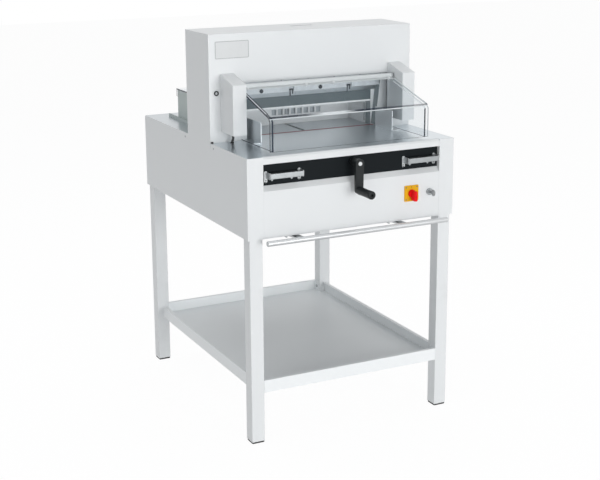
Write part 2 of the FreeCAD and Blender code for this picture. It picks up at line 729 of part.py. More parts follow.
def side_lay(inner_x, outward):
    """Angle that the sheets are pushed against: upright on the cut's side, foot turned away."""
    y0, y1 = LAY_FRONT, LAY_FRONT + LAY_LENGTH
    wall = sorted((inner_x, inner_x + outward * LAY_T))
    foot = sorted((inner_x, inner_x + outward * LAY_FOOT))
    upright = block(wall[0], wall[1], y0, y1, TABLE_Z, TABLE_Z + LAY_HEIGHT)
    return joined(upright, block(foot[0], foot[1], y0, HOUSING_FRONT - 1, TABLE_Z, TABLE_Z + LAY_T))


def rear_lay(inner_x, outward):
    """Lay behind the cut, in line with the front one: slotted near its front, foot behind the frame."""
    y1 = REAR_LAY_FRONT + REAR_LAY_LENGTH
    top = TABLE_Z + REAR_LAY_HEIGHT
    wall = sorted((inner_x, inner_x + outward * LAY_T))
    foot = sorted((inner_x, inner_x + outward * LAY_FOOT))
    upright = block(wall[0], wall[1], REAR_LAY_FRONT, y1, TABLE_Z, top)
    slot = block(wall[0] - 1, wall[1] + 1, REAR_LAY_SLOT_Y0, REAR_LAY_SLOT_Y0 + REAR_LAY_SLOT_W,
                 TABLE_Z + REAR_LAY_SLOT_EDGE, top - REAR_LAY_SLOT_EDGE)
    return joined(upright.cut(slot), block(foot[0], foot[1], FRAME_REAR + 1, y1, TABLE_Z, TABLE_Z + LAY_T))


def rear_lay_recess(inner_x, outward):
    """Shallow recess of the side plate that the front end of the rear lay stands in."""
    x = sorted((inner_x - outward, inner_x + outward * (LAY_T + LOOSE)))
    return block(x[0], x[1], REAR_LAY_FRONT - LOOSE, FRAME_REAR + 1, TABLE_Z, TABLE_Z + REAR_LAY_HEIGHT + LOOSE)


def build_tables():
    """Both tables, the stick that the blade cuts into, and the side lays."""
    save("front_table", front_table())
    save("rear_table", rear_table())
    top = TABLE_Z + STICK_PROUD
    save("cutting_stick", block(WINDOW_LEFT - STICK_OVERHANG, WINDOW_RIGHT + STICK_OVERHANG, STICK_Y0,
                                STICK_Y1, top - STICK_HEIGHT, top))
    save("side_lays", side_lay(WINDOW_LEFT, -1), side_lay(WINDOW_RIGHT, 1), rear_lay(WINDOW_LEFT, -1),
         rear_lay(WINDOW_RIGHT, 1))


def drift(z):
    """Sideways place, against the carrier's lower edge, of the slanted blade track at height z."""
    return SIDE_TRAVEL * (z - CARRIER_Z) / STROKE


def slanted(left, right, z0, z1, y0, y1):
    """Plate whose two ends run parallel to the blade's track."""
    profile = [(left + drift(z0), z0), (right + drift(z0), z0), (right + drift(z1), z1), (left + drift(z1), z1)]
    return prism_y(profile, y0, y1)


def stick_groove():
    """Cutter of the groove that the stick lies in, open to both sides so that it can be drawn out."""
    top = TABLE_Z + STICK_PROUD
    return block(FRAME_LEFT - 1, FRAME_RIGHT + 1, STICK_Y0, STICK_Y1, top - STICK_HEIGHT, top)


def bed_beam():
    """Heavy beam under the cut, grooved for the stick and bored for the gauge spindle."""
    z0 = TABLE_UNDER - BED_HEIGHT
    front = block(FRAME_LEFT, FRAME_RIGHT, BED_FRONT, FRAME_FRONT, z0, TABLE_UNDER)
    rear = block(WINDOW_LEFT, WINDOW_RIGHT, FRAME_FRONT, BED_REAR, z0, TABLE_UNDER)
    beam = joined(front, rear)
    groove = stick_groove()
    bore = rod((0, BED_FRONT - 1, SPINDLE_Z), (0, BED_REAR + 1, SPINDLE_Z), SPINDLE_R + 8 * LOOSE)
    return beam.cut(groove).cut(bore)


def blade_guide(inner, outer):
    """Block beside the carrier whose inner face is the slanted track."""
    low, high = (GUIDE_Z0, GUIDE_TOP)
    profile = [(outer, low), (inner + drift(low), low), (inner + drift(high), high), (outer, high)]
    return prism_y(profile, GUIDE_FRONT, FRAME_FRONT)


def build_frame():
    """Side plates, cross beams and the slanted tracks of the blade carrier."""
    top_z0 = FRAME_TOP - TOP_BEAM_H
    left = block(FRAME_LEFT, WINDOW_LEFT, FRAME_FRONT, FRAME_REAR, FLOOR_Z, FRAME_TOP)
    right = block(WINDOW_RIGHT, FRAME_RIGHT, FRAME_FRONT, FRAME_REAR, FLOOR_Z, FRAME_TOP)
    left = left.cut(rear_lay_recess(WINDOW_LEFT, -1))
    right = right.cut(rear_lay_recess(WINDOW_RIGHT, 1))
    save("side_frames", left.cut(stick_groove()), right.cut(stick_groove()))
    save("bed_beam", bed_beam())
    beam = block(WINDOW_LEFT, WINDOW_RIGHT, FRAME_FRONT, FRAME_REAR, top_z0, FRAME_TOP)
    save("top_beam", beam.cut(rod((CLAMP_SCREW_X, CLAMP_SCREW_Y, top_z0 - 1),
                                  (CLAMP_SCREW_X, CLAMP_SCREW_Y, FRAME_TOP + 1), CLAMP_SCREW_R + RUNNING)))
    save("blade_guides", blade_guide(CARRIER_LEFT - GUIDE_CLEAR, FRAME_LEFT),
         blade_guide(CARRIER_RIGHT + GUIDE_CLEAR, FRAME_RIGHT))


def housing_front():
    """Front sheet of the housing, open in front of the blade and the clamp."""
    sheet = block(-INNER, INNER, HOUSING_FRONT, HOUSING_FRONT + SHEET, TABLE_Z, HEIGHT - SHEET)
    sheet = sheet.cut(block(COVER_OPEN_LEFT, COVER_OPEN_RIGHT, HOUSING_FRONT - 1, HOUSING_FRONT + SHEET + 1,
                            TABLE_Z - 1, COVER_OPEN_TOP))
    for side in (-1, 1):
        x = side * LOCK_X
        sheet = sheet.cut(rod((x, HOUSING_FRONT - 1, LOCK_Z), (x, HOUSING_FRONT + SHEET + 1, LOCK_Z),
                              LOCK_R / 2 + RUNNING))
    return sheet


def obround(length, width, z0, z1):
    """Upright slot cutter with round ends, centred on the origin."""
    run = (length - width) / 2
    middle = block(-run, run, -width / 2, width / 2, z0, z1)
    ends = [rod((x, 0, z0), (x, 0, z1), width / 2) for x in (-run, run)]
    return joined(middle, *ends)


def housing_top():
    """Lid sheet of the housing with a finger slot and a folded flange behind each face."""
    sheet = block(-INNER, INNER, HOUSING_FRONT, HOUSING_REAR, HEIGHT - SHEET, HEIGHT)
    front = block(-INNER, INNER, HOUSING_FRONT + SHEET, HOUSING_FRONT + 2 * SHEET,
                  HEIGHT - COVER_FLANGE, HEIGHT - SHEET)
    rear = block(-INNER, INNER, HOUSING_REAR - 2 * SHEET, HOUSING_REAR - SHEET,
                 HEIGHT - COVER_FLANGE, HEIGHT - SHEET)
    slot = obround(TOP_SLOT_L, TOP_SLOT_W, HEIGHT - 2 * SHEET, HEIGHT + 1)
    slot.translate(V(TOP_SLOT_X, TOP_SLOT_Y, 0))
    return joined(sheet, front, rear).cut(slot)


def build_housing():
    """Three sheets round the blade drive, and the bare plate on the front one."""
    save("housing_front_cover", housing_front())
    save("housing_top_cover", housing_top())
    rear = block(-INNER, INNER, HOUSING_REAR - SHEET, HOUSING_REAR, TABLE_Z, HEIGHT - SHEET)
    save("housing_rear_cover", rear.cut(block(-REAR_OPEN_X, REAR_OPEN_X, HOUSING_REAR - SHEET - 1,
                                              HOUSING_REAR + 1, TABLE_Z - 1, REAR_OPEN_Z)))
    save("blank_plate", rounded_block((PLATE_X0, PLATE_X0 + PLATE_W, HOUSING_FRONT - PLATE_T, HOUSING_FRONT,
                                       PLATE_Z0, PLATE_Z0 + PLATE_H), PLATE_R, 1))


def column():
    """Right-hand column: a moulded shell, open at the back, that carries the guard's pin."""
    x0, x1 = COLUMN_IN, COLUMN_IN + COLUMN_W
    front = HOUSING_FRONT - COLUMN_DEPTH
    wall = COLUMN_WALL
    fall = (COLUMN_REAR_TOP - COLUMN_FRONT_TOP) / COLUMN_DEPTH
    outer = prism_x([(HOUSING_FRONT, COLUMN_Z0), (front, COLUMN_Z0), (front, COLUMN_FRONT_TOP),
                     (HOUSING_FRONT, COLUMN_REAR_TOP)], x0, x1)
    front_edges = [e for e in upright_edges(outer, 2) if abs(e.Vertexes[0].Y - front) < 1e-3]
    outer = outer.makeFillet(COLUMN_R, front_edges)
    hollow = prism_x([(HOUSING_FRONT + 1, COLUMN_Z0 + wall), (front + wall, COLUMN_Z0 + wall),
                      (front + wall, COLUMN_FRONT_TOP - wall + fall * wall),
                      (HOUSING_FRONT + 1, COLUMN_REAR_TOP - wall)], x0 + wall, x1 - wall)
    boss = rod((x0 + wall, HINGE_Y, HINGE_Z), (x0 + 4 * wall, HINGE_Y, HINGE_Z), 2 * HINGE_PIN_R)
    bore = rod((x0 - 1, HINGE_Y, HINGE_Z), (x0 + 5 * wall, HINGE_Y, HINGE_Z), HINGE_PIN_R + RUNNING)
    lead_hole = rod((-LEAD_X, LEAD_Y, COLUMN_Z0 - 1), (-LEAD_X, LEAD_Y, COLUMN_Z0 + wall + 1), LEAD_R + LOOSE)
    return joined(outer.cut(hollow), boss).cut(bore).cut(lead_hole)


def lead():
    """Short black lead of the guard's switch, from the left column down through the table in three bends."""
    rise = COLUMN_Z0 - TABLE_Z
    turn = 2 * math.atan(LEAD_SWAY / rise)
    radius = rise / (4 * math.sin(turn))
    near, far = LEAD_X + radius, LEAD_X + radius - 2 * radius * math.cos(turn)
    disc = Part.Face(Part.Wire(Part.makeCircle(LEAD_R, V(LEAD_X, LEAD_Y, COLUMN_Z0))))
    pieces = [rod((LEAD_X, LEAD_Y, COLUMN_Z0), (LEAD_X, LEAD_Y, COLUMN_Z0 + 2 * COLUMN_WALL), LEAD_R),
              rod((LEAD_X, LEAD_Y, TABLE_UNDER - LEAD_R), (LEAD_X, LEAD_Y, TABLE_Z), LEAD_R)]
    for x, z, share in ((near, COLUMN_Z0, -1), (far, COLUMN_Z0 - rise / 2, 2), (near, TABLE_Z, -1)):
        angle = math.degrees(turn) * share
        pieces.append(disc.revolve(V(x, LEAD_Y, z), V(0, 1, 0), angle))
        disc = disc.copy()
        disc.rotate(V(x, LEAD_Y, z), V(0, 1, 0), angle)
    return joined(*pieces)


def slope_frame():
    """Unit vectors along the sloping pane, towards the front, and out of its upper face."""
    dy, dz = PANE_SLOPE_Y - (HINGE_Y - RAIL_DEPTH / 2), PANE_SLOPE_Z - PANE_TOP_Z
    length = math.hypot(dy, dz)
    return (dy / length, dz / length), (dz / length, -dy / length)


def slope_point(along, out):
    """Point on the sloping pane, measured from its upper rear edge."""
    (ay, az), (ny, nz) = slope_frame()
    return HINGE_Y - RAIL_DEPTH / 2 + along * ay + out * ny, PANE_TOP_Z + along * az + out * nz


def offset_corner(first, corner, last, distance):
    """Corner of a bent sheet moved inwards by its thickness, on the right of the path."""
    def unit(a, b):
        length = math.hypot(b[0] - a[0], b[1] - a[1])
        return (b[0] - a[0]) / length, (b[1] - a[1]) / length
    u, w = unit(first, corner), unit(corner, last)
    nu, nw = (-u[1], u[0]), (-w[1], w[0])
    scale = distance / (1 + nu[0] * nw[0] + nu[1] * nw[1])
    return corner[0] + (nu[0] + nw[0]) * scale, corner[1] + (nu[1] + nw[1]) * scale


def pane_outline():
    """Outer and inner y-z paths of the bent front pane, from the rail down to the table."""
    outer = [slope_point(PANE_START, 0), (PANE_SLOPE_Y, PANE_SLOPE_Z)]
    outer += [(PANE_FRONT, PANE_BEND_Z), (PANE_FRONT, PANE_BOTTOM)]
    inner = [slope_point(PANE_START, -PANE_T)]
    inner += [offset_corner(outer[i - 1], outer[i], outer[i + 1], PANE_T) for i in (1, 2)]
    inner.append((PANE_FRONT + PANE_T, PANE_BOTTOM))
    return outer, inner


def guard_half():
    """Half the length of the guard between the columns."""
    return COLUMN_IN - GUARD_GAP


def guard_rail():
    """Profile that the pane hangs from, with a pin at each end and a lip over the pane's upper edge."""
    half = guard_half()
    bar = rounded_block((-half, half, HINGE_Y - RAIL_DEPTH / 2, HINGE_Y + RAIL_DEPTH / 2,
                         HINGE_Z - RAIL_BELOW, HINGE_Z + RAIL_ABOVE), RAIL_R, 0)
    lip = prism_x([slope_point(-4, 0), slope_point(LIP_LENGTH, 0),
                   slope_point(LIP_LENGTH, LIP_T), slope_point(-4, LIP_T)],
                  -half + PANE_T + 1, half - PANE_T - 1)
    pins = [rod((side * half, HINGE_Y, HINGE_Z), (side * (half + HINGE_PIN_REACH), HINGE_Y, HINGE_Z), HINGE_PIN_R)
            for side in (-1, 1)]
    rail = joined(bar, lip, *pins)
    for x in GUARD_SCREW_X:
        rail = rail.cut(guard_screw_bar(x, GUARD_SCREW_R / 2 + RUNNING, LIP_T + 1, -1))
    return rail


def guard_screw_bar(x, radius, top, bottom):
    """Round bar square to the sloping pane, between two distances from its upper face."""
    start, end = slope_point(LIP_LENGTH / 2, bottom), slope_point(LIP_LENGTH / 2, top)
    return rod((x, start[0], start[1]), (x, end[0], end[1]), radius)


def build_guard():
    """Front guard: rail, bent pane, side panes and screws, all turning on the columns' pins."""
    half = guard_half()
    outer, inner = pane_outline()
    pane = prism_x(outer + inner[::-1], -half, half)
    for x in GUARD_SCREW_X:
        pane = pane.cut(guard_screw_bar(x, GUARD_SCREW_R / 2 + RUNNING, 1.0, -PANE_T - 1))
    save("guard_rail", guard_rail())
    save("guard_pane", pane)
    side_top = HINGE_Z - RAIL_BELOW - SIDE_PANE_DROP
    profile = inner + [(SIDE_PANE_REAR, PANE_BOTTOM), (SIDE_PANE_REAR, side_top),
                       (HINGE_Y - RAIL_DEPTH / 2, side_top)]
    right = prism_x(profile, half - SIDE_PANE_INSET - PANE_T, half - SIDE_PANE_INSET)
    save("guard_side_panes", right, mirrored(right))
    screws = []
    for x in GUARD_SCREW_X:
        head = guard_screw_bar(x, GUARD_SCREW_R, LIP_T + GUARD_SCREW_H, LIP_T)
        screws.append(joined(head, guard_screw_bar(x, GUARD_SCREW_R / 2, LIP_T, -PANE_T)))
    save("guard_screws", *screws)


def rear_plate():
    """Right side plate of the rear guard, with its foot rail and the ear of the lid."""
    x0, x1 = REAR_PLATE_X, REAR_PLATE_X + SHEET
    plate = block(x0, x1, HOUSING_REAR, REAR_PLATE_Y1, TABLE_Z, REAR_PLATE_TOP)
    ear = block(x0, x1, HOUSING_REAR, HOUSING_REAR + LID_EAR, REAR_PLATE_TOP, LID_HINGE_Z + LID_BARREL_R)
    rail = block(x1, x1 + REAR_RAIL_W, HOUSING_REAR, REAR_RAIL_Y1, TABLE_Z, TABLE_Z + REAR_RAIL_H)
    bore = rod((x0 - 1, LID_HINGE_Y, LID_HINGE_Z), (x1 + 1, LID_HINGE_Y, LID_HINGE_Z), LID_PIN_R + RUNNING)
    return joined(plate, ear, rail).cut(bore)


def rear_lid():
    """Clear lid over the rear table, turning on a barrel beside the housing."""
    wide = REAR_PLATE_X + SHEET + LID_OVERHANG
    inside = REAR_PLATE_X - 2 * GUARD_GAP
    ear_end = HOUSING_REAR + LID_EAR + GUARD_GAP
    top = block(-wide, wide, ear_end, LID_REAR, LID_Z, LID_Z + LID_T)
    neck = block(-inside, inside, LID_HINGE_Y, ear_end, LID_Z, LID_Z + LID_T)
    back = block(-wide, wide, LID_REAR - LID_T, LID_REAR, LID_Z - LID_DROP, LID_Z)
    barrel = rod((-inside, LID_HINGE_Y, LID_HINGE_Z), (inside, LID_HINGE_Y, LID_HINGE_Z), LID_BARREL_R)
    pin = rod((-REAR_PLATE_X - SHEET, LID_HINGE_Y, LID_HINGE_Z), (REAR_PLATE_X + SHEET, LID_HINGE_Y, LID_HINGE_Z),
              LID_PIN_R)
    return joined(top, neck, back, barrel, pin)


def build_rear_guard():
    """Side plates on the rear table and the lid hinged between them."""
    right = rear_plate()
    save("rear_guard_plates", right, mirrored(right))
    save("rear_guard_lid", rear_lid())


def blade_carrier():
    """Slanted beam that carries the blade, with the arm that the pull rod draws down."""
    beam = slanted(CARRIER_LEFT, CARRIER_RIGHT, CARRIER_Z, CARRIER_Z + CARRIER_HEIGHT, CARRIER_Y0, BLADE_Y0)
    for x in NOTCH_X:
        beam = beam.cut(block(x - NOTCH_W / 2, x + NOTCH_W / 2, CARRIER_Y0 - 1, CARRIER_Y0 + NOTCH_DEPTH,
                              NOTCH_Z0, NOTCH_Z0 + NOTCH_H))
    boss = block(ARM_BOSS_LEFT, ARM_END, ARM_Y1, CARRIER_Y0, ARM_Z0, ARM_Z0 + ARM_HEIGHT)
    arm = block(ROD_X - ROD_W / 2 - 3, ARM_END, ARM_Y0, ARM_Y1, ARM_Z0, ARM_Z0 + ARM_HEIGHT)
    carrier = joined(beam, boss, arm)
    pin_z = ARM_Z0 + ARM_HEIGHT / 2
    carrier = carrier.cut(rod((ROD_X, ARM_Y0 - 1, pin_z), (ROD_X, ARM_Y1 + 1, pin_z), ROD_PIN_R + RUNNING))
    for x, z in blade_bolt_places():
        carrier = carrier.cut(rod((x, CARRIER_Y0 - 1, z), (x, BLADE_Y0 + 1, z), BLADE_BOLT_R / 2 + RUNNING))
    return carrier


def blade_bolt_places():
    """Middle of each bolt that holds the blade to its carrier."""
    return [(x, BOLT_LOW_Z) for x in BOLT_LOW_X] + [(x, BOLT_HIGH_Z) for x in BOLT_HIGH_X]


def blade():
    """Wedge-edged blade behind the carrier."""
    inset = 1.0
    plate = slanted(CARRIER_LEFT + inset, CARRIER_RIGHT - inset, BLADE_Z, BLADE_Z + BLADE_HEIGHT, BLADE_Y0, CUT_Y)
    wedge = prism_x([(BLADE_Y0 - 1, BLADE_Z - 1), (CUT_Y - 0.3, BLADE_Z - 1), (CUT_Y - 0.3, BLADE_Z),
                     (BLADE_Y0, BLADE_Z + BLADE_BEVEL), (BLADE_Y0 - 1, BLADE_Z + BLADE_BEVEL)],
                    CARRIER_LEFT - 10, CARRIER_RIGHT + 10)
    plate = plate.cut(wedge)
    for x, z in blade_bolt_places():
        plate = plate.cut(rod((x, BLADE_Y0 - 1, z), (x, CUT_Y + 1, z), BLADE_BOLT_R / 2 + RUNNING))
    return plate


def blade_bolt(x, z):
    """Socket-headed bolt through the carrier into the blade."""
    head = rod((x, CARRIER_Y0 - BLADE_BOLT_PROUD, z), (x, CARRIER_Y0, z), BLADE_BOLT_R)
    socket = rod((x, CARRIER_Y0 - BLADE_BOLT_PROUD - 1, z), (x, CARRIER_Y0 - 0.6, z), BLADE_BOLT_R / 2)
    return joined(head, rod((x, CARRIER_Y0, z), (x, CUT_Y - 2, z), BLADE_BOLT_R / 2)).cut(socket)


def pull_rod():
    """Flat rod hung on the carrier's arm, with the eye of the drive at its lower end."""
    top_z = ARM_Z0 + ARM_HEIGHT
    bar = block(ROD_X - ROD_W / 2, ROD_X + ROD_W / 2, ROD_Y0, ARM_Y0, ROD_LOW_Z, top_z)
    eye = rod((ROD_X, ROD_Y0, ROD_LOW_Z), (ROD_X, ARM_Y0, ROD_LOW_Z), ROD_W / 2 + 3)
    pin_z = ARM_Z0 + ARM_HEIGHT / 2
    pin = rod((ROD_X, ARM_Y0, pin_z), (ROD_X, ARM_Y1, pin_z), ROD_PIN_R)
    hole = rod((ROD_X, ROD_Y0 - 1, ROD_LOW_Z), (ROD_X, ARM_Y0 + 1, ROD_LOW_Z), CRANKPIN_R + LOOSE)
    return joined(bar, eye, pin).cut(hole)


def drive_disc():
    """Disc on the gearbox shaft; its crank pin stops just short of the pull rod's eye."""
    disc = rod((DISC_X, DISC_Y0, DISC_Z), (DISC_X, DISC_Y1, DISC_Z), DISC_R)
    shaft = rod((DISC_X, DISC_Y0 - DISC_SHAFT_L, DISC_Z), (DISC_X, DISC_Y0, DISC_Z), DISC_SHAFT_R)
    pin = rod((ROD_X, DISC_Y1, ROD_LOW_Z), (ROD_X, ROD_Y0 - 0.5, ROD_LOW_Z), CRANKPIN_R)
    return joined(disc, shaft, pin)


def gearbox():
    """Worm gearbox bolted to the floor, bored for the disc's shaft."""
    case = rounded_block((DISC_X - GEARBOX_W / 2, DISC_X + GEARBOX_W / 2, GEARBOX_Y0, GEARBOX_Y1,
                          FLOOR_Z, GEARBOX_TOP), 10.0, 1)
    foot = block(DISC_X - GEARBOX_W / 2, DISC_X + GEARBOX_W / 2, GEARBOX_Y0, GEARBOX_Y1, FLOOR_Z, FLOOR_Z + 12)
    shaft_hole = rod((DISC_X, DISC_Y0 - DISC_SHAFT_L - 1, DISC_Z), (DISC_X, GEARBOX_Y1 + 1, DISC_Z),
                     DISC_SHAFT_R + RUNNING)
    return joined(case, foot).cut(shaft_hole)


def motor():
    """Blade motor lying on its foot beside the gearbox, with a fan cowl at its far end."""
    x0 = DISC_X + GEARBOX_W / 2
    y = (GEARBOX_Y0 + GEARBOX_Y1) / 2
    body = rod((x0, y, DISC_Z), (x0 + MOTOR_L, y, DISC_Z), MOTOR_R)
    foot = block(x0 + 20, x0 + 20 + MOTOR_FOOT_L, y - MOTOR_FOOT_W / 2, y + MOTOR_FOOT_W / 2, FLOOR_Z, DISC_Z)
    return joined(body, foot)


def build_drive():
    """Carrier, blade and the drive that draws them down."""
    save("blade_carrier", blade_carrier())
    save("blade", blade())
    save("blade_bolts", *[blade_bolt(x, z) for x, z in blade_bolt_places()])
    save("pull_rod", pull_rod())
    save("drive_disc", drive_disc())
    save("gearbox", gearbox())
    save("blade_motor", motor())
    save("control_box", rounded_block((BOX_X0, BOX_X0 + BOX_W, BOX_Y0, BOX_Y0 + BOX_DEPTH, FLOOR_Z, FLOOR_Z + BOX_H),
                                      3.0, 2))


def clamp_beam():
    """Pressing beam behind the blade, with the long nut of its screw on top."""
    beam = block(WINDOW_LEFT + CLAMP_SIDE_GAP, WINDOW_RIGHT - CLAMP_SIDE_GAP, CLAMP_Y0, CLAMP_Y1,
                 CLAMP_Z, CLAMP_Z + CLAMP_HEIGHT)
    nut = rod((CLAMP_SCREW_X, CLAMP_SCREW_Y, CLAMP_Z + CLAMP_HEIGHT),
              (CLAMP_SCREW_X, CLAMP_SCREW_Y, CLAMP_NECK_TOP), CLAMP_NECK_R)
    bore = rod((CLAMP_SCREW_X, CLAMP_SCREW_Y, CLAMP_SCREW_Z0 - 2),
               (CLAMP_SCREW_X, CLAMP_SCREW_Y, CLAMP_NECK_TOP + 1), CLAMP_SCREW_R + RUNNING)
    return joined(beam, nut).cut(bore)


def build_clamp():
    """Clamp beam, its screw and the gear motor on the top beam."""
    save("clamp_beam", clamp_beam())
    screw = rod((CLAMP_SCREW_X, CLAMP_SCREW_Y, CLAMP_SCREW_Z0), (CLAMP_SCREW_X, CLAMP_SCREW_Y, CLAMP_SCREW_Z1),
                CLAMP_SCREW_R)
    save("clamp_screw", screw)
    y0 = FRAME_FRONT + 2
    case = rounded_block((CLAMP_SCREW_X - CLAMP_MOTOR_W / 2, CLAMP_SCREW_X + CLAMP_MOTOR_W / 2, y0,
                          y0 + CLAMP_MOTOR_DEPTH, FRAME_TOP, FRAME_TOP + CLAMP_MOTOR_H), 6.0, 2)
    save("clamp_motor", case.cut(rod((CLAMP_SCREW_X, CLAMP_SCREW_Y, FRAME_TOP - 1),
                                     (CLAMP_SCREW_X, CLAMP_SCREW_Y, CLAMP_SCREW_Z1 + LOOSE),
                                     CLAMP_SCREW_R + LOOSE)))


def back_gauge():
    """Gauge face with its row of slots, a flange along the top and a rib behind each end."""
    z0 = TABLE_Z + GAUGE_LIFT
    face = block(GAUGE_LEFT, GAUGE_RIGHT, GAUGE_Y, GAUGE_Y + GAUGE_T, z0, GAUGE_TOP)
    for i in range(GAUGE_SLOTS):
        x = GAUGE_SLOT_X0 + i * GAUGE_SLOT_PITCH
        face = face.cut(block(x, x + GAUGE_SLOT_W, GAUGE_Y - 1, GAUGE_Y + GAUGE_T + 1, GAUGE_SLOT_Z0,
                              GAUGE_SLOT_Z0 + GAUGE_SLOT_H))
    flange = block(GAUGE_LEFT, GAUGE_RIGHT, GAUGE_Y, GAUGE_Y + GAUGE_FLANGE, GAUGE_TOP - GAUGE_T, GAUGE_TOP)
    ribs = [block(x, x + GAUGE_RIB_T, GAUGE_Y, GAUGE_Y + GAUGE_FLANGE, z0, GAUGE_TOP)
            for x in (GAUGE_LEFT, GAUGE_RIGHT - GAUGE_RIB_T)]
    return joined(face, flange, *ribs)


def gauge_carriage():
    """Foot behind the gauge, a neck through the table's slot and the nut on the spindle."""
    y0 = GAUGE_Y + GAUGE_T
    z0 = TABLE_Z + GAUGE_LIFT
    foot = block(-CARRIAGE_W / 2, CARRIAGE_W / 2, y0, y0 + CARRIAGE_DEPTH, z0, z0 + CARRIAGE_FOOT_T)
    web = prism_x([(y0, z0), (y0 + CARRIAGE_DEPTH, z0 + CARRIAGE_FOOT_T), (y0, GAUGE_TOP - 2 * GAUGE_T)],
                  -NECK_W / 2, NECK_W / 2)
    nut_y0 = y0 + CARRIAGE_DEPTH - NUT_DEPTH
    neck = block(-NECK_W / 2, NECK_W / 2, nut_y0, y0 + CARRIAGE_DEPTH, SPINDLE_Z, z0)
    nut = block(-NUT_W / 2, NUT_W / 2, nut_y0, y0 + CARRIAGE_DEPTH, SPINDLE_Z - NUT_DROP, SPINDLE_Z + NUT_DROP)
    bore = rod((0, nut_y0 - 1, SPINDLE_Z), (0, y0 + CARRIAGE_DEPTH + 1, SPINDLE_Z), SPINDLE_R + RUNNING)
    return joined(foot, web, neck, nut).cut(bore)


def spindle():
    """Long screw of the back gauge, bored at the front for the crank's screw."""
    bar = rod((0, CRANK_ARM_Y0 + 2, SPINDLE_Z), (0, SPINDLE_REAR, SPINDLE_Z), SPINDLE_R)
    return bar.cut(rod((0, CRANK_ARM_Y0, SPINDLE_Z), (0, CRANK_ARM_Y0 + CRANK_SCREW_L + 1, SPINDLE_Z), CRANK_SCREW_R))


def spindle_bearing(y0, y1, z0, z1):
    """Bearing plate across the spindle between two depths and two heights."""
    plate = block(-BEARING_PLATE_W / 2, BEARING_PLATE_W / 2, y0, y1, z0, z1)
    return plate.cut(rod((0, y0 - 1, SPINDLE_Z), (0, y1 + 1, SPINDLE_Z), SPINDLE_R + RUNNING))


def build_gauge():
    """Back gauge on its carriage, the spindle and the plates that it turns in."""
    save("back_gauge", back_gauge())
    save("gauge_carriage", gauge_carriage())
    save("gauge_spindle", spindle())
    front_y = STRIP_RECESS + STRIP_T
    save("spindle_bearings",
         spindle_bearing(front_y, front_y + BEARING_T, STRIP_Z0 + 14, STRIP_Z1 - 2),
         spindle_bearing(REAR_BEARING_Y, REAR_BEARING_Y + BEARING_PLATE_T, SPINDLE_Z - BEARING_R, TABLE_UNDER))


def crank_arm():
    """Black arm on the spindle's end: collar, hub, tapering arm and the stud of the grip."""
    y0, y1 = CRANK_ARM_Y0, CRANK_ARM_Y1
    low = SPINDLE_Z - CRANK_RADIUS
    hub = rod((0, y0, SPINDLE_Z), (0, y1, SPINDLE_Z), CRANK_HUB_R)
    end = rod((0, y0, low), (0, y1, low), CRANK_END_R)
    arm = prism_y([(-CRANK_HUB_R, SPINDLE_Z), (CRANK_HUB_R, SPINDLE_Z), (CRANK_END_R, low), (-CRANK_END_R, low)],
                  y0, y1)
    collar = rod((0, y1, SPINDLE_Z), (0, CRANK_COLLAR_Y1, SPINDLE_Z), CRANK_COLLAR_R)
    body = joined(hub, end, arm, collar)
    stud = rod((0, -GRIP_REACH + GRIP_HEX_DEPTH + 2, low), (0, y0, low), GRIP_PIN_R)
    bore = rod((0, y0 + 2, SPINDLE_Z), (0, CRANK_COLLAR_Y1 + 1, SPINDLE_Z), SPINDLE_R)
    screw_hole = rod((0, y0 - 1, SPINDLE_Z), (0, y0 + 3, SPINDLE_Z), CRANK_SCREW_R)
    return joined(body, stud).cut(bore).cut(screw_hole)


def crank_grip():
    """Round grip that spins on the arm's stud, with a hexagon pocket in its end."""
    low = SPINDLE_Z - CRANK_RADIUS
    front, back = -GRIP_REACH, CRANK_ARM_Y0 - LOOSE
    body = rod((0, front, low), (0, back, low), GRIP_R)
    body = body.makeFillet(3.0, [e for e in body.Edges if abs(e.BoundBox.YMax - front) < 1e-3
                                 and abs(e.BoundBox.YMin - front) < 1e-3])
    stud_end = front + GRIP_HEX_DEPTH + 2
    bore = rod((0, stud_end - LOOSE, low), (0, back + 1, low), GRIP_PIN_R + RUNNING)
    corners = [(GRIP_HEX_R * math.cos(math.radians(60 * i)), low + GRIP_HEX_R * math.sin(math.radians(60 * i)))
               for i in range(6)]
    return body.cut(bore).cut(prism_y(corners, front - 1, front + GRIP_HEX_DEPTH))


def build_crank():
    """Hand crank of the back gauge."""
    save("crank_arm", crank_arm())
    save("crank_grip", crank_grip())
    head = rod((0, CRANK_ARM_Y0 - CRANK_SCREW_HEAD_H, SPINDLE_Z), (0, CRANK_ARM_Y0, SPINDLE_Z), CRANK_SCREW_HEAD_R)
    shank = rod((0, CRANK_ARM_Y0, SPINDLE_Z), (0, CRANK_ARM_Y0 + CRANK_SCREW_L, SPINDLE_Z), CRANK_SCREW_R)
    save("crank_screw", joined(head, shank))


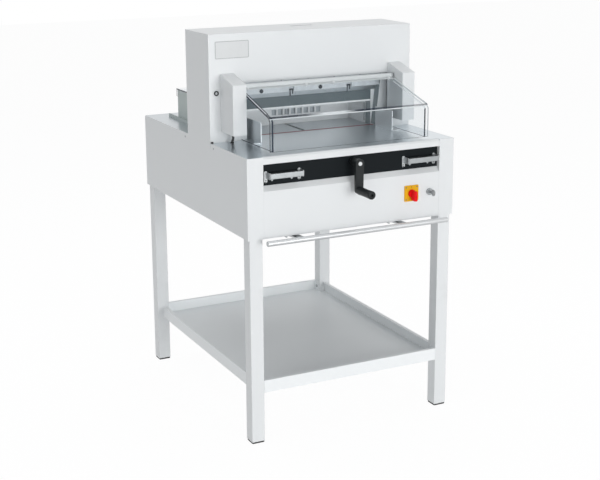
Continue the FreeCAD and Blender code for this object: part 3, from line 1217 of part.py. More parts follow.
def release_bar(x0):
    """Bright channel between two ears: face, top and bottom turned back, ends, V lugs and stub pins."""
    x1 = x0 + RELEASE_LENGTH - TAB_W - EAR_T - 2 * LOOSE
    z0, z1 = RELEASE_Z - RELEASE_BAR_H / 2, RELEASE_Z + RELEASE_BAR_H / 2
    t = RELEASE_BAR_T
    solid = rounded_block((x0, x1, RELEASE_FACE_Y, RELEASE_BACK_Y, z0, z1), 2.0, 0)
    channel = solid.cut(block(x0 + t, x1 - t, RELEASE_FACE_Y + t, RELEASE_BACK_Y + 1, z0 + t, z1 - t))
    half = RELEASE_TOOTH_W / 2
    teeth = [prism_y([(x0 + at - half, z0 + t / 2), (x0 + at, z0 - RELEASE_TOOTH_H), (x0 + at + half, z0 + t / 2)],
                     RELEASE_TOOTH_Y, RELEASE_TOOTH_Y + RELEASE_TOOTH_T) for at in RELEASE_TOOTH_AT]
    pins = [rod((x, RELEASE_PIN_Y, RELEASE_Z), (x + reach, RELEASE_PIN_Y, RELEASE_Z), RELEASE_PIN_R)
            for x, reach in ((x0 + t, -t - EAR_T - 2 * LOOSE), (x1 - t, t + EAR_T + 2 * LOOSE))]
    return joined(channel, *teeth, *pins)


def ear_hole_places(x):
    """Middle of an ear's tab and the heights of its upper and lower hole."""
    middle = RELEASE_Z - TAB_DROP
    return x + TAB_W / 2, middle + EAR_SCREW_RISE, middle - EAR_SCREW_RISE


def release_ear(x):
    """Ear of a release bar: a round-ended tab on the strip and, at its right, a cheek with the pin's hole."""
    cheek = (x + TAB_W - EAR_T, x + TAB_W)
    plate = rounded_block((*cheek, EAR_FRONT_Y, STRIP_RECESS, RELEASE_Z - EAR_H / 2, RELEASE_Z + EAR_H / 2), 3.0, 0)
    middle = RELEASE_Z - TAB_DROP
    foot = rounded_block((x, x + TAB_W, STRIP_RECESS - EAR_T, STRIP_RECESS, middle - TAB_H / 2, middle + TAB_H / 2),
                         TAB_W / 2 - 0.1, 1)
    bore = rod((cheek[0] - 1, RELEASE_PIN_Y, RELEASE_Z), (cheek[1] + 1, RELEASE_PIN_Y, RELEASE_Z),
               RELEASE_PIN_R + RUNNING)
    cx, _, low = ear_hole_places(x)
    slot = rounded_block((cx - EAR_SLOT_W / 2, cx + EAR_SLOT_W / 2, STRIP_RECESS - EAR_T - 1, STRIP_RECESS + 1,
                          low - EAR_SLOT_H / 2, low + EAR_SLOT_H / 2), EAR_SLOT_W / 2 - 0.1, 1)
    return joined(plate, foot).cut(bore).cut(slot)


def ear_screws(x):
    """Upper screw on an ear's tab and the stud in its lower slot."""
    cx, high, low = ear_hole_places(x)
    head = rod((cx, STRIP_RECESS - EAR_T - EAR_SCREW_H, high), (cx, STRIP_RECESS - EAR_T, high), EAR_SCREW_R)
    stud = rod((cx, STRIP_RECESS - EAR_T, low), (cx, STRIP_RECESS, low), EAR_STUD_R)
    return [head, stud]


def release_ear_places():
    """Left edge of each ear of both bars."""
    places = []
    for x0 in (-RELEASE_OUT, RELEASE_OUT - RELEASE_LENGTH):
        places += [x0, x0 + RELEASE_LENGTH - TAB_W]
    return places


def build_release():
    """Left and right bars and the ears that hold them."""
    ears = release_ear_places()
    save("release_bar_left", release_bar(ears[0] + TAB_W + LOOSE))
    save("release_bar_right", release_bar(ears[2] + TAB_W + LOOSE))
    save("release_brackets", *[release_ear(x) for x in ears])


def switch_plate():
    """Yellow switch plate on the panel and the switch body behind it."""
    half = SWITCH_W / 2
    plate = rounded_block((SWITCH_X - half, SWITCH_X + half, -SWITCH_T, 0, SWITCH_Z - half, SWITCH_Z + half), 4.0, 1)
    neck = rod((SWITCH_X, 0, SWITCH_Z), (SWITCH_X, SHEET, SWITCH_Z), SWITCH_BODY_W / 2 - 4 - LOOSE)
    body_half = SWITCH_BODY_W / 2
    body = block(SWITCH_X - body_half, SWITCH_X + body_half, SHEET, SHEET + SWITCH_BODY_DEPTH,
                 SWITCH_Z - body_half, SWITCH_Z + body_half)
    hole = rod((SWITCH_X, -SWITCH_T - 1, SWITCH_Z), (SWITCH_X, 20, SWITCH_Z), KNOB_STEM_R + RUNNING)
    return joined(plate, neck, body).cut(hole)


def switch_knob():
    """Red knob: round base, grip with its long end down and the stem into the switch."""
    y1 = -SWITCH_T - LOOSE
    base = rod((SWITCH_X, y1 - KNOB_BASE_H, SWITCH_Z), (SWITCH_X, y1, SWITCH_Z), KNOB_R)
    grip = rounded_block((SWITCH_X - KNOB_GRIP_W / 2, SWITCH_X + KNOB_GRIP_W / 2, y1 - KNOB_H, y1 - KNOB_BASE_H + 1,
                          SWITCH_Z - KNOB_TAIL, SWITCH_Z + KNOB_R - 2), 3.0, 1)
    stem = rod((SWITCH_X, y1, SWITCH_Z), (SWITCH_X, 15, SWITCH_Z), KNOB_STEM_R)
    return joined(base, grip, stem)


def key_lock():
    """Lock barrel through the panel with its bezel and the hole of the key."""
    bezel = rod((KEY_X, -LOCK_BEZEL_T, KEY_Z), (KEY_X, 0, KEY_Z), LOCK_BEZEL_R)
    bezel = bezel.makeFillet(1.0, [e for e in bezel.Edges if e.BoundBox.YMax < -LOCK_BEZEL_T + 0.1])
    barrel = rod((KEY_X, 0, KEY_Z), (KEY_X, LOCK_DEPTH, KEY_Z), LOCK_BARREL_R)
    hole = rod((KEY_X, -LOCK_BEZEL_T - 1, KEY_Z), (KEY_X, KEY_INSIDE + LOOSE, KEY_Z), KEY_SHANK_W / 2 + RUNNING)
    return joined(bezel, barrel).cut(hole)


def key():
    """Key in the lock: round core, flat shank and a bow with a ring hole."""
    y0 = -LOCK_BEZEL_T - KEY_SHANK_L
    core = rod((KEY_X, -LOCK_BEZEL_T, KEY_Z), (KEY_X, KEY_INSIDE, KEY_Z), KEY_SHANK_W / 2)
    shank = block(KEY_X - KEY_T / 2, KEY_X + KEY_T / 2, y0, -LOCK_BEZEL_T + 1,
                  KEY_Z - KEY_SHANK_W / 2 + 0.5, KEY_Z + KEY_SHANK_W / 2 - 0.5)
    bow_y = y0 - KEY_BOW_R + 3
    bow = rod((KEY_X - KEY_T / 2, bow_y, KEY_Z), (KEY_X + KEY_T / 2, bow_y, KEY_Z), KEY_BOW_R)
    ring = rod((KEY_X - KEY_T, bow_y - 5, KEY_Z), (KEY_X + KEY_T, bow_y - 5, KEY_Z), 2.5)
    return joined(core, shank, bow).cut(ring)


def build_controls():
    """Main switch and key lock on the lower front."""
    save("main_switch_plate", switch_plate())
    save("main_switch_knob", switch_knob())
    save("key_lock", key_lock())
    save("key", key())


def knee_bar():
    """Round bar in front of the lower edge on two flat arms that run back to the pivots."""
    bar = rod((-KNEE_HALF, KNEE_Y, KNEE_Z), (KNEE_HALF, KNEE_Y, KNEE_Z), KNEE_R)
    pieces = [bar]
    half = KNEE_ARM_T / 2
    for x in KNEE_ARM_X:
        x0, x1 = x - KNEE_ARM_W / 2, x + KNEE_ARM_W / 2
        pieces.append(prism_x([(KNEE_Y, KNEE_Z - half), (KNEE_PIVOT_Y, KNEE_PIVOT_Z - half),
                               (KNEE_PIVOT_Y, KNEE_PIVOT_Z + half), (KNEE_Y, KNEE_Z + half)], x0, x1))
        pieces.append(rod((x0, KNEE_PIVOT_Y, KNEE_PIVOT_Z), (x1, KNEE_PIVOT_Y, KNEE_PIVOT_Z), KNEE_EYE_R))
    shape = joined(*pieces)
    for x in KNEE_ARM_X:
        shape = shape.cut(rod((x - KNEE_ARM_W, KNEE_PIVOT_Y, KNEE_PIVOT_Z),
                              (x + KNEE_ARM_W, KNEE_PIVOT_Y, KNEE_PIVOT_Z), KNEE_PIN_R + RUNNING))
    return shape


def knee_bracket(x):
    """Forked bracket under the base plate with the pin of one arm."""
    inner = KNEE_ARM_W / 2 + KNEE_EAR_GAP
    y0, y1 = KNEE_PIVOT_Y - KNEE_EAR_D / 2, KNEE_PIVOT_Y + KNEE_EAR_D / 2
    ears = [block(a, b, y0, y1, KNEE_PIVOT_Z - 2 * KNEE_PIN_R, CABINET_Z)
            for a, b in ((x - inner - KNEE_EAR_T, x - inner), (x + inner, x + inner + KNEE_EAR_T))]
    web = block(x - inner - KNEE_EAR_T, x + inner + KNEE_EAR_T, y0, y1, CABINET_Z - 2, CABINET_Z)
    pin = rod((x - inner - KNEE_EAR_T, KNEE_PIVOT_Y, KNEE_PIVOT_Z),
              (x + inner + KNEE_EAR_T, KNEE_PIVOT_Y, KNEE_PIVOT_Z),
              KNEE_PIN_R)
    return joined(web, pin, *ears)


def build_knee_bar():
    """Bar for the knee that brings the clamp down ahead of the cut."""
    save("knee_bar", knee_bar())
    save("knee_bar_brackets", *[knee_bracket(x) for x in KNEE_ARM_X])


def main():
    """Build every piece of the machine."""
    os.makedirs("parts", exist_ok=True)
    build_stand()
    build_screws()
    build_cabinet()
    build_tables()
    build_frame()
    build_housing()
    left_column = mirrored(column())
    plain = rod((-LEAD_X, LEAD_Y, COLUMN_Z0), (-LEAD_X, LEAD_Y, COLUMN_Z0 + COLUMN_WALL), LEAD_R + LOOSE)
    save("column_left", left_column)
    save("column_right", joined(column(), plain))
    save("column_lead", lead())
    build_guard()
    build_rear_guard()
    build_drive()
    build_clamp()
    build_gauge()
    build_crank()
    build_release()
    build_controls()
    build_knee_bar()


main()
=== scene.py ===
"""Looks of an electric paper cutter on a stand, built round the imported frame.

Every length is in metres in the frame's own axes: X to the right of the machine, Y to the rear, Z up.
"""

import json
import logging
import math
from dataclasses import dataclass
from enum import Enum
from typing import Callable, Iterable, Sequence, Union

import bmesh
import bpy
from mathutils import Matrix, Vector

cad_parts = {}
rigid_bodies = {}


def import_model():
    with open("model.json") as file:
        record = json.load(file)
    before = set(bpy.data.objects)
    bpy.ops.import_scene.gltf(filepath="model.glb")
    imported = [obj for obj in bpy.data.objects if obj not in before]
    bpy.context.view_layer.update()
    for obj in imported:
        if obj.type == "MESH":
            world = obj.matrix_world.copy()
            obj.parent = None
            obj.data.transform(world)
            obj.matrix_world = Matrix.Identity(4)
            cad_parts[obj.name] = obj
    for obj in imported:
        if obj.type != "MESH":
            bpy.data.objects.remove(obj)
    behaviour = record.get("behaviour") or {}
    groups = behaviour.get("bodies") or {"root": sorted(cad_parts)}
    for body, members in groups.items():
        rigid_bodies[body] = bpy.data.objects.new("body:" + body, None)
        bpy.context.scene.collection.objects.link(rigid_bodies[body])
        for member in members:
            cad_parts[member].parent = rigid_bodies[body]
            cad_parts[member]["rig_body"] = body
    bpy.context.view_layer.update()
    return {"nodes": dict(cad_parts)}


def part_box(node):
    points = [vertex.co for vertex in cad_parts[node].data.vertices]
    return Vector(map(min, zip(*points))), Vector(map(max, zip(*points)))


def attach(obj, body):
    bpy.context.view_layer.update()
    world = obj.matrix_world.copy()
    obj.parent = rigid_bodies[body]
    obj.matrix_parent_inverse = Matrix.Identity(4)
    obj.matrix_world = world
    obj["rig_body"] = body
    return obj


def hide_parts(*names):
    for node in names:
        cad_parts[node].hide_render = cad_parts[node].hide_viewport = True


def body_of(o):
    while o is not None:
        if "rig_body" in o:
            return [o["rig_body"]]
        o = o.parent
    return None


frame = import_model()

log = logging.getLogger("paper_cutter")

Number = Union[int, float]
Triple = tuple[float, float, float]
Colour = Triple

MM = 0.001
EVEN: Triple = (1.0, 1.0, 1.0)
WHITE = (1.0, 1.0, 1.0, 1.0)
NOTHING = 1e-9
FRONTWARD = Vector((0.0, -1.0, 0.0))
REARWARD = Vector((0.0, 1.0, 0.0))
UPWARD = Vector((0.0, 0.0, 1.0))

# Angles between faces, in degrees.
SMOOTH_ANGLE = 35.0
SHARP_ANGLE = 28.0
SQUARE_ANGLE = 60.0
FLAT_ANGLE = 0.8

# Sockets of the Mix node for colours.
MIX_FACTOR, MIX_FIRST, MIX_SECOND, MIX_RESULT = 0, 6, 7, 2


class Axis(Enum):
    """A direction of the frame."""

    X = 0
    Y = 1
    Z = 2

    def vector(self) -> Vector:
        """Unit vector along this axis."""
        return Vector([1.0 if i == self.value else 0.0 for i in range(3)])

    def across(self) -> Vector:
        """A unit vector square to this axis."""
        return (Axis.X if self is Axis.Z else Axis.Z).vector()

    def stretch(self, along: float, across: float) -> Triple:
        """Scales of a pattern that runs along this axis."""
        return tuple(along if i == self.value else across for i in range(3))


class Wire:
    """A shader socket that takes part in ordinary arithmetic by adding Math nodes."""

    def __init__(self, shading: "Shading", socket: bpy.types.NodeSocket) -> None:
        """Hold one socket of one shading graph."""
        self.shading = shading
        self.socket = socket

    def _maths(self, operation: str, *values: Union["Wire", Number]) -> "Wire":
        """Add a Math node on the given values.

        Args:
            operation: the Math node's operation.
            values: its inputs in order.

        Returns:
            The node's result.
        """
        return self.shading.node("ShaderNodeMath", {"operation": operation}, dict(enumerate(values)))

    def __add__(self, other: Union["Wire", Number]) -> "Wire":
        """Sum."""
        return self._maths("ADD", self, other)

    def __radd__(self, other: Number) -> "Wire":
        """Sum with the number first."""
        return self._maths("ADD", other, self)

    def __sub__(self, other: Union["Wire", Number]) -> "Wire":
        """Difference."""
        return self._maths("SUBTRACT", self, other)

    def __rsub__(self, other: Number) -> "Wire":
        """Difference with the number first."""
        return self._maths("SUBTRACT", other, self)

    def __mul__(self, other: Union["Wire", Number]) -> "Wire":
        """Product."""
        return self._maths("MULTIPLY", self, other)

    def __rmul__(self, other: Number) -> "Wire":
        """Product with the number first."""
        return self._maths("MULTIPLY", other, self)

    def __truediv__(self, other: Union["Wire", Number]) -> "Wire":
        """Quotient."""
        return self._maths("DIVIDE", self, other)

    def __rtruediv__(self, other: Number) -> "Wire":
        """Quotient with the number first."""
        return self._maths("DIVIDE", other, self)

    def clamped(self) -> "Wire":
        """The value held between 0 and 1."""
        return self.shading.node("ShaderNodeClamp", {}, {"Value": self})

    def between(self, low: Number, high: Number) -> "Wire":
        """0 below one level, 1 above the other and even in between."""
        return ((self - low) / (high - low)).clamped()


class Shading:
    """The node graph of one material, or of the world."""

    def __init__(
        self, owner: Union[bpy.types.Material, bpy.types.World], output: str = "ShaderNodeOutputMaterial",
    ) -> None:
        """Empty the owner's graph and give it its output node.

        Args:
            owner: the material or world that the graph belongs to.
            output: type name of its output node.
        """
        self.owner = owner
        owner.use_nodes = True
        self.tree = owner.node_tree
        self.tree.nodes.clear()
        self.output = self.tree.nodes.new(output)

    @classmethod
    def named(cls, name: str) -> "Shading":
        """The empty graph of a new material."""
        return cls(bpy.data.materials.new(name))

    def node(
        self,
        kind: str,
        settings: dict[str, object],
        inputs: dict[Union[str, int], object],
        result: Union[str, int] = 0,
    ) -> Wire:
        """Add a node: its type, then its settings, then its inputs.

        Args:
            kind: the node's type name.
            settings: properties set before the inputs.
            inputs: socket name or number to a value or a Wire.
            result: the output that is returned.

        Returns:
            The chosen output.
        """
        made = self.tree.nodes.new(kind)
        for key, value in settings.items():
            setattr(made, key, value)
        for key, value in inputs.items():
            if isinstance(value, Wire):
                self.tree.links.new(value.socket, made.inputs[key])
            else:
                made.inputs[key].default_value = value
        return Wire(self, made.outputs[result])

    def place(self, stretch: Triple = EVEN) -> Wire:
        """Object coordinates, stretched per axis."""
        here = self.node("ShaderNodeTexCoord", {}, {}, "Object")
        return self.node("ShaderNodeMapping", {}, {"Vector": here, "Scale": stretch})

    def level(self, axis: Axis) -> Wire:
        """One of the object's own coordinates, in metres."""
        return self.node("ShaderNodeSeparateXYZ", {}, {0: self.place()}, axis.value)

    def noise(self, scale: float, detail: float = 2.0, stretch: Triple = EVEN) -> Wire:
        """Smooth noise with features about 1/scale metres long."""
        inputs = {"Vector": self.place(stretch), "Scale": scale, "Detail": detail, "Roughness": 0.55}
        return self.node("ShaderNodeTexNoise", {}, inputs, "Fac")

    def cells(self, scale: float) -> Wire:
        """A flat random value in each cell of a cell pattern."""
        found = self.node("ShaderNodeTexVoronoi", {}, {"Vector": self.place(), "Scale": scale}, "Color")
        return self.node("ShaderNodeSeparateColor", {}, {0: found})

    def blend(self, factor: Union[Wire, float], first: Union[Wire, Colour], second: Colour) -> Wire:
        """Mix a colour, or a pattern of colour, with another colour.

        Args:
            factor: 0 for the first colour, 1 for the second.
            first: the first colour or pattern.
            second: the second colour.

        Returns:
            The mixed colour.
        """
        start = first if isinstance(first, Wire) else (*first, 1.0)
        inputs = {MIX_FACTOR: factor, MIX_FIRST: start, MIX_SECOND: (*second, 1.0)}
        return self.node("ShaderNodeMix", {"data_type": "RGBA"}, inputs, MIX_RESULT)

    def bump(self, height: Wire, strength: float, distance: float) -> Wire:
        """A normal that follows a height pattern."""
        inputs = {"Strength": strength, "Distance": distance, "Height": height}
        return self.node("ShaderNodeBump", {}, inputs, "Normal")

    def principled(self, inputs: dict[Union[str, int], object]) -> Wire:
        """The main surface shader."""
        return self.node("ShaderNodeBsdfPrincipled", {}, inputs, "BSDF")

    def finish(self, surface: Wire) -> Union[bpy.types.Material, bpy.types.World]:
        """Join a shader to the output and return the graph's owner."""
        self.tree.links.new(surface.socket, self.output.inputs["Surface"])
        return self.owner


def tone(colour: Colour, factor: float) -> Colour:
    """A colour made lighter or darker by a factor."""
    return tuple(min(1.0, part * factor) for part in colour)


@dataclass(frozen=True)
class PowderCoat:
    """Baked powder paint on sheet metal, with a fine orange-peel skin."""

    name: str
    colour: Colour
    roughness: float = 0.42
    peel: float = 0.10
    coat: float = 0.10
    scuff: float = 0.0
    cloud_scale: float = 3.5
    skin_scale: float = 700.0
    rub_scale: float = 9.0

    def material(self) -> bpy.types.Material:
        """Make the paint, with faint rubbed marks where it is handled or stood on.

        Returns:
            The material.
        """
        s = Shading.named(self.name)
        cloud = s.noise(self.cloud_scale, 3.0)
        skin = s.noise(self.skin_scale, 2.0)
        rubbed = s.noise(self.rub_scale, 6.0, (1.0, 0.35, 1.0)).between(0.60, 0.72) * self.scuff
        shade = s.blend(cloud, tone(self.colour, 0.985), tone(self.colour, 1.012))
        inputs = {
            "Base Color": s.blend(rubbed, shade, tone(self.colour, 0.88)),
            "Roughness": self.roughness + (s.noise(26.0, 3.0) - 0.5) * 0.10 - rubbed * 0.10,
            "Normal": s.bump(skin, self.peel, 0.15 * MM),
            "Coat Weight": self.coat,
            "Coat Roughness": 0.25,
        }
        return s.finish(s.principled(inputs))


class Grain(Enum):
    """How a bare metal surface was worked."""

    BRUSHED = "brushed"
    GROUND = "ground"
    SPANGLED = "spangled"
    TURNED = "turned"


@dataclass(frozen=True)
class BareMetal:
    """Bare or plated metal with the marks of how it was worked."""

    name: str
    colour: Colour
    roughness: float
    grain: Grain = Grain.TURNED
    spread: float = 0.10
    run: Axis = Axis.X
    relief: float = 1.0

    def _pattern(self, s: Shading) -> tuple[Wire, Wire]:
        """The patterns of this grain.

        Args:
            s: the graph that they are added to.

        Returns:
            The slow pattern of its colour and the fine pattern of its height.
        """
        if self.grain is Grain.SPANGLED:
            return s.cells(120.0), s.noise(500.0, 3.0)
        if self.grain is Grain.TURNED:
            return s.noise(60.0, 4.0), s.noise(900.0, 2.0)
        stretch = self.run.stretch(0.02 if self.grain is Grain.BRUSHED else 0.05, 1.0)
        return s.noise(90.0, 4.0, stretch), s.noise(1400.0, 3.0, stretch)

    def material(self) -> bpy.types.Material:
        """Make the metal.

        Returns:
            The material.
        """
        s = Shading.named(self.name)
        slow, fine = self._pattern(s)
        low, high = 1.0 - self.spread, 1.0 + self.spread * 0.6
        uneven = self.roughness * self.relief
        inputs = {
            "Base Color": s.blend(slow, tone(self.colour, low), tone(self.colour, high)),
            "Metallic": 1.0,
            "Roughness": self.roughness + (slow - 0.5) * uneven * 0.5 + (fine - 0.5) * uneven * 0.3,
            "Normal": s.bump(fine, 0.05 * self.relief, 0.05 * MM),
        }
        return s.finish(s.principled(inputs))


@dataclass(frozen=True)
class CastMetal:
    """Cast or rolled metal under a thin machine paint or oxide."""

    name: str
    colour: Colour
    roughness: float
    metallic: float
    mottle: float = 1.0

    def material(self) -> bpy.types.Material:
        """Make the casting, blotched and sandy as far as it is mottled.

        Returns:
            The material.
        """
        s = Shading.named(self.name)
        blotch = s.noise(40.0, 5.0)
        sand = s.noise(450.0, 4.0)
        dull, fair = tone(self.colour, 1.0 - 0.25 * self.mottle), tone(self.colour, 1.0 + 0.2 * self.mottle)
        inputs = {
            "Base Color": s.blend(blotch, dull, fair),
            "Metallic": self.metallic,
            "Roughness": self.roughness + (sand - 0.5) * 0.25 * self.mottle,
            "Normal": s.bump(sand, 0.35 * self.mottle, 0.4 * MM),
        }
        return s.finish(s.principled(inputs))


@dataclass(frozen=True)
class Moulded:
    """Injection-moulded plastic, lacquer or film with a fine grain."""

    name: str
    colour: Colour
    roughness: float = 0.45
    grain_scale: float = 1100.0
    depth: float = 0.12
    specular: float = 0.5

    def material(self) -> bpy.types.Material:
        """Make the plastic.

        Returns:
            The material.
        """
        s = Shading.named(self.name)
        haze = s.noise(18.0, 3.0)
        inputs = {
            "Base Color": s.blend(haze, tone(self.colour, 0.95), tone(self.colour, 1.05)),
            "Roughness": self.roughness + (haze - 0.5) * 0.12,
            "Normal": s.bump(s.noise(self.grain_scale, 2.0), self.depth, 0.2 * MM),
            "Specular IOR Level": self.specular,
        }
        return s.finish(s.principled(inputs))


@dataclass(frozen=True)
class Rubber:
    """Dull black rubber with a dusty skin."""

    name: str
    colour: Colour
    roughness: float

    def material(self) -> bpy.types.Material:
        """Make the rubber.

        Returns:
            The material.
        """
        s = Shading.named(self.name)
        dust = s.noise(70.0, 5.0)
        inputs = {
            "Base Color": s.blend(dust, tone(self.colour, 0.7), tone(self.colour, 1.9)),
            "Roughness": self.roughness + (dust - 0.5) * 0.2,
            "Normal": s.bump(s.noise(600.0, 3.0), 0.3, 0.25 * MM),
        }
        return s.finish(s.principled(inputs))


@dataclass(frozen=True)
class ClearSheet:
    """Face of a clear plastic sheet: a faint tint to look through and a sharp sheen on top."""

    name: str
    tint: Colour
    reflected: Colour = (0.55, 0.60, 0.64)
    sheen: float = 0.03
    rim: float = 0.12
    roughness: float = 0.05

    def material(self) -> bpy.types.Material:
        """Make the sheet's face, with the faint smears that hands leave.

        Returns:
            The material.
        """
        s = Shading.named(self.name)
        smear = s.noise(14.0, 4.0)
        inputs = {
            "Base Color": (*self.reflected, 1.0),
            "Roughness": self.roughness + smear * 0.05,
            "Specular IOR Level": 0.5,
            "IOR": 1.49,
        }
        glossy = s.principled(inputs)
        through = s.node("ShaderNodeBsdfTransparent", {}, {"Color": (*self.tint, 1.0)})
        rim = s.node("ShaderNodeLayerWeight", {}, {"Blend": 0.25}, "Facing")
        share = (self.sheen * (0.8 + smear * 0.4) + rim * rim * self.rim).clamped()
        return s.finish(s.node("ShaderNodeMixShader", {}, {0: share, 1: through, 2: glossy}))


@dataclass(frozen=True)
class CutEdge:
    """Sawn and polished edge of a clear sheet, coloured with a painted reflection of the light that the
    sheet gathers.
    """

    name: str
    # colour and light are painted reflections: the edge's main tone and that of its lighter stretches.
    colour: Colour
    light: Colour
    opacity: float
    run: Axis = Axis.X
    length: float = 0.12

    def material(self) -> bpy.types.Material:
        """Make the edge: saw marks across it, and a painted reflection, lighter on some stretches than on
        others.

        Returns:
            The material.
        """
        s = Shading.named(self.name)
        marks = s.noise(300.0, 3.0, (1.0, 1.0, 0.2))
        # Painted reflection: the stretches along the edge that get the lighter colour.
        painted_reflection_share = s.noise(1.0 / self.length, 2.0, self.run.stretch(1.0, 0.1)).between(0.47, 0.56)
        shade = s.blend(painted_reflection_share, self.colour, self.light)
        inputs = {
            "Base Color": s.blend(marks * 0.25, shade, tone(self.colour, 0.6)),
            "Roughness": 0.16 + marks * 0.12,
            "Specular IOR Level": 0.15,
            "Alpha": self.opacity,
        }
        return s.finish(s.principled(inputs))


@dataclass(frozen=True)
class BentSheet:
    """Bend of a clear sheet with a painted reflection: dark where it reflects the table, light where it
    reflects the white covers.
    """

    name: str
    # dark and light are the painted reflection's colours; lit is the stretch along X that gets the light
    # one.
    dark: Colour
    light: Colour
    lit: tuple[float, float]
    clear_from: float
    opacity: float = 0.80

    def material(self) -> bpy.types.Material:
        """Make the bend's painted reflection, stretch by stretch along its length.

        Returns:
            The material.
        """
        s = Shading.named(self.name)
        along, wave = s.level(Axis.X), s.noise(30.0, 3.0, (1.0, 4.0, 4.0))
        start, end = self.lit
        rise = (along + wave * 0.02).between(start - 0.03, start + 0.04)
        fade = along.between(self.clear_from, self.clear_from + 0.04)
        inputs = {
            "Base Color": s.blend(rise * (1.0 - along.between(end - 0.05, end)), self.dark, self.light),
            "Roughness": 0.16 + wave * 0.1,
            "Specular IOR Level": 0.15,
            "Alpha": self.opacity * (1.0 - fade * 0.30) * (0.80 + wave * 0.4),
        }
        return s.finish(s.principled(inputs))


class Finish(Enum):
    """The finishes of the machine, named for what they are."""

    WHITE_PAINT = PowderCoat("white_powder_coat", (0.79, 0.81, 0.82))
    LEG_PAINT = PowderCoat("leg_powder_coat", (0.79, 0.81, 0.82), scuff=0.35)
    TRAY_PAINT = PowderCoat("tray_powder_coat", (0.90, 0.925, 0.935), peel=0.04, coat=0.0)
    FRAME_PAINT = PowderCoat("pale_frame_paint", (0.90, 0.92, 0.93), roughness=0.38)
    # Painted shade: a dark colour for the frame flanks that face each other, where shade falls.
    FLANK_PAINT = PowderCoat("painted_shade_on_facing_flanks", (0.19, 0.235, 0.25), coat=0.0)
    CLAMP_PAINT = PowderCoat("dark_clamp_paint", (0.070, 0.103, 0.116), coat=0.0)
    GAUGE_PAINT = PowderCoat("gauge_powder_coat", (0.85, 0.87, 0.88), roughness=0.34)
    FOOT_PAINT = PowderCoat("clamp_foot_enamel", (0.95, 0.96, 0.965), roughness=0.30)
    PLATED_TABLE = BareMetal(
        "plated_table_steel", (0.65, 0.695, 0.725), 0.28, Grain.GROUND, 0.03, Axis.Y, relief=0.15)
    REAR_TABLE = BareMetal(
        "plated_rear_table_steel", (0.52, 0.555, 0.58), 0.30, Grain.GROUND, 0.03, Axis.Y, relief=0.15)
    PLATED_LAY = BareMetal(
        "plated_lay_steel", (0.66, 0.69, 0.71), 0.34, Grain.BRUSHED, 0.03, Axis.Y, relief=0.15)
    ZINC = BareMetal("zinc_plated_steel", (0.47, 0.49, 0.50), 0.42, Grain.SPANGLED, 0.12)
    DARK_STEEL = BareMetal("oiled_dark_steel", (0.16, 0.17, 0.18), 0.38, Grain.TURNED, 0.2)
    BLADE_STEEL = BareMetal("ground_blade_steel", (0.56, 0.59, 0.61), 0.30, Grain.GROUND, 0.08, Axis.Z)
    CHROME = BareMetal("bright_nickel", (0.36, 0.38, 0.39), 0.32, Grain.TURNED, 0.05)
    KNEE_STEEL = BareMetal("polished_bar_steel", (0.56, 0.575, 0.585), 0.40, Grain.BRUSHED, 0.05)
    BLACKENED = BareMetal("blackened_screw_steel", (0.035, 0.040, 0.045), 0.32, Grain.TURNED, 0.2)
    BRASS = BareMetal("brass_nut", (0.72, 0.52, 0.24), 0.28, Grain.TURNED, 0.12)
    GALVANISED = CastMetal("galvanised_guard_sheet", (0.40, 0.455, 0.45), 0.42, 0.35, mottle=0.3)
    CARRIER_STEEL = CastMetal("pale_carrier_paint", (0.66, 0.70, 0.73), 0.42, 0.15)
    RAIL_ALUMINIUM = CastMetal("anodised_rail", (0.56, 0.59, 0.60), 0.45, 0.25, mottle=0.12)
    MOTOR_ALUMINIUM = CastMetal("die_cast_motor_shell", (0.50, 0.51, 0.52), 0.45, 0.8)
    CAST_IRON = CastMetal("painted_cast_iron", (0.28, 0.30, 0.32), 0.5, 0.35)
    BACKING = Moulded("gauge_backing_strip", (0.46, 0.50, 0.53))
    BLACK_PANEL = Moulded("black_panel_lacquer", (0.008, 0.011, 0.013), 0.48, 900.0, 0.05, specular=0.08)
    BLACK_PLASTIC = Moulded("black_moulding", (0.015, 0.018, 0.019), 0.42, specular=0.22)
    GREY_PLASTIC = Moulded("grey_moulding", (0.30, 0.32, 0.33))
    COLUMN_PLASTIC = Moulded("pale_column_moulding", (0.78, 0.80, 0.81), 0.48)
    PLATE_FILM = Moulded("bare_label_plate", (0.72, 0.735, 0.74), 0.45, 400.0, 0.05, specular=0.3)
    STICK_PLASTIC = Moulded("cutting_stick_nylon", (0.36, 0.12, 0.13), 0.55, specular=0.3)
    YELLOW = Moulded("yellow_switch_plate", (0.80, 0.44, 0.014), 0.46, 800.0, 0.06, specular=0.10)
    RED = Moulded("red_switch_knob", (0.86, 0.006, 0.012), 0.42, 800.0, 0.06, specular=0.12)
    PRINT = Moulded("black_switch_print", (0.010, 0.010, 0.011), 0.55, 800.0, 0.02, specular=0.3)
    FOOT_RUBBER = Rubber("foot_rubber", (0.012, 0.012, 0.013), 0.75)
    LEAD_RUBBER = Rubber("lead_sheath", (0.012, 0.012, 0.013), 0.55)
    CLEAR = ClearSheet("clear_guard_sheet", (0.975, 0.982, 0.986))
    # Painted reflection along the bend of the front pane.
    BEND_SHEEN = BentSheet(
        "bent_guard_sheet_painted_reflection", (0.014, 0.022, 0.042), (0.80, 0.84, 0.86), lit=(-0.12, 0.025), clear_from=0.082)
    # Painted reflections on the clear sheets' edges: a painted dark reflection, and a painted highlight.
    CUT_EDGE = CutEdge("sheet_edge_painted_dark_reflection", (0.008, 0.013, 0.030), (0.020, 0.030, 0.055), 0.94)
    BRIGHT_EDGE = CutEdge("sheet_edge_painted_highlight", (0.86, 0.90, 0.92), (0.74, 0.79, 0.82), 0.86)

    def made(self) -> bpy.types.Material:
        """The finish's material, made once."""
        return bpy.data.materials.get(self.value.name) or self.value.material()


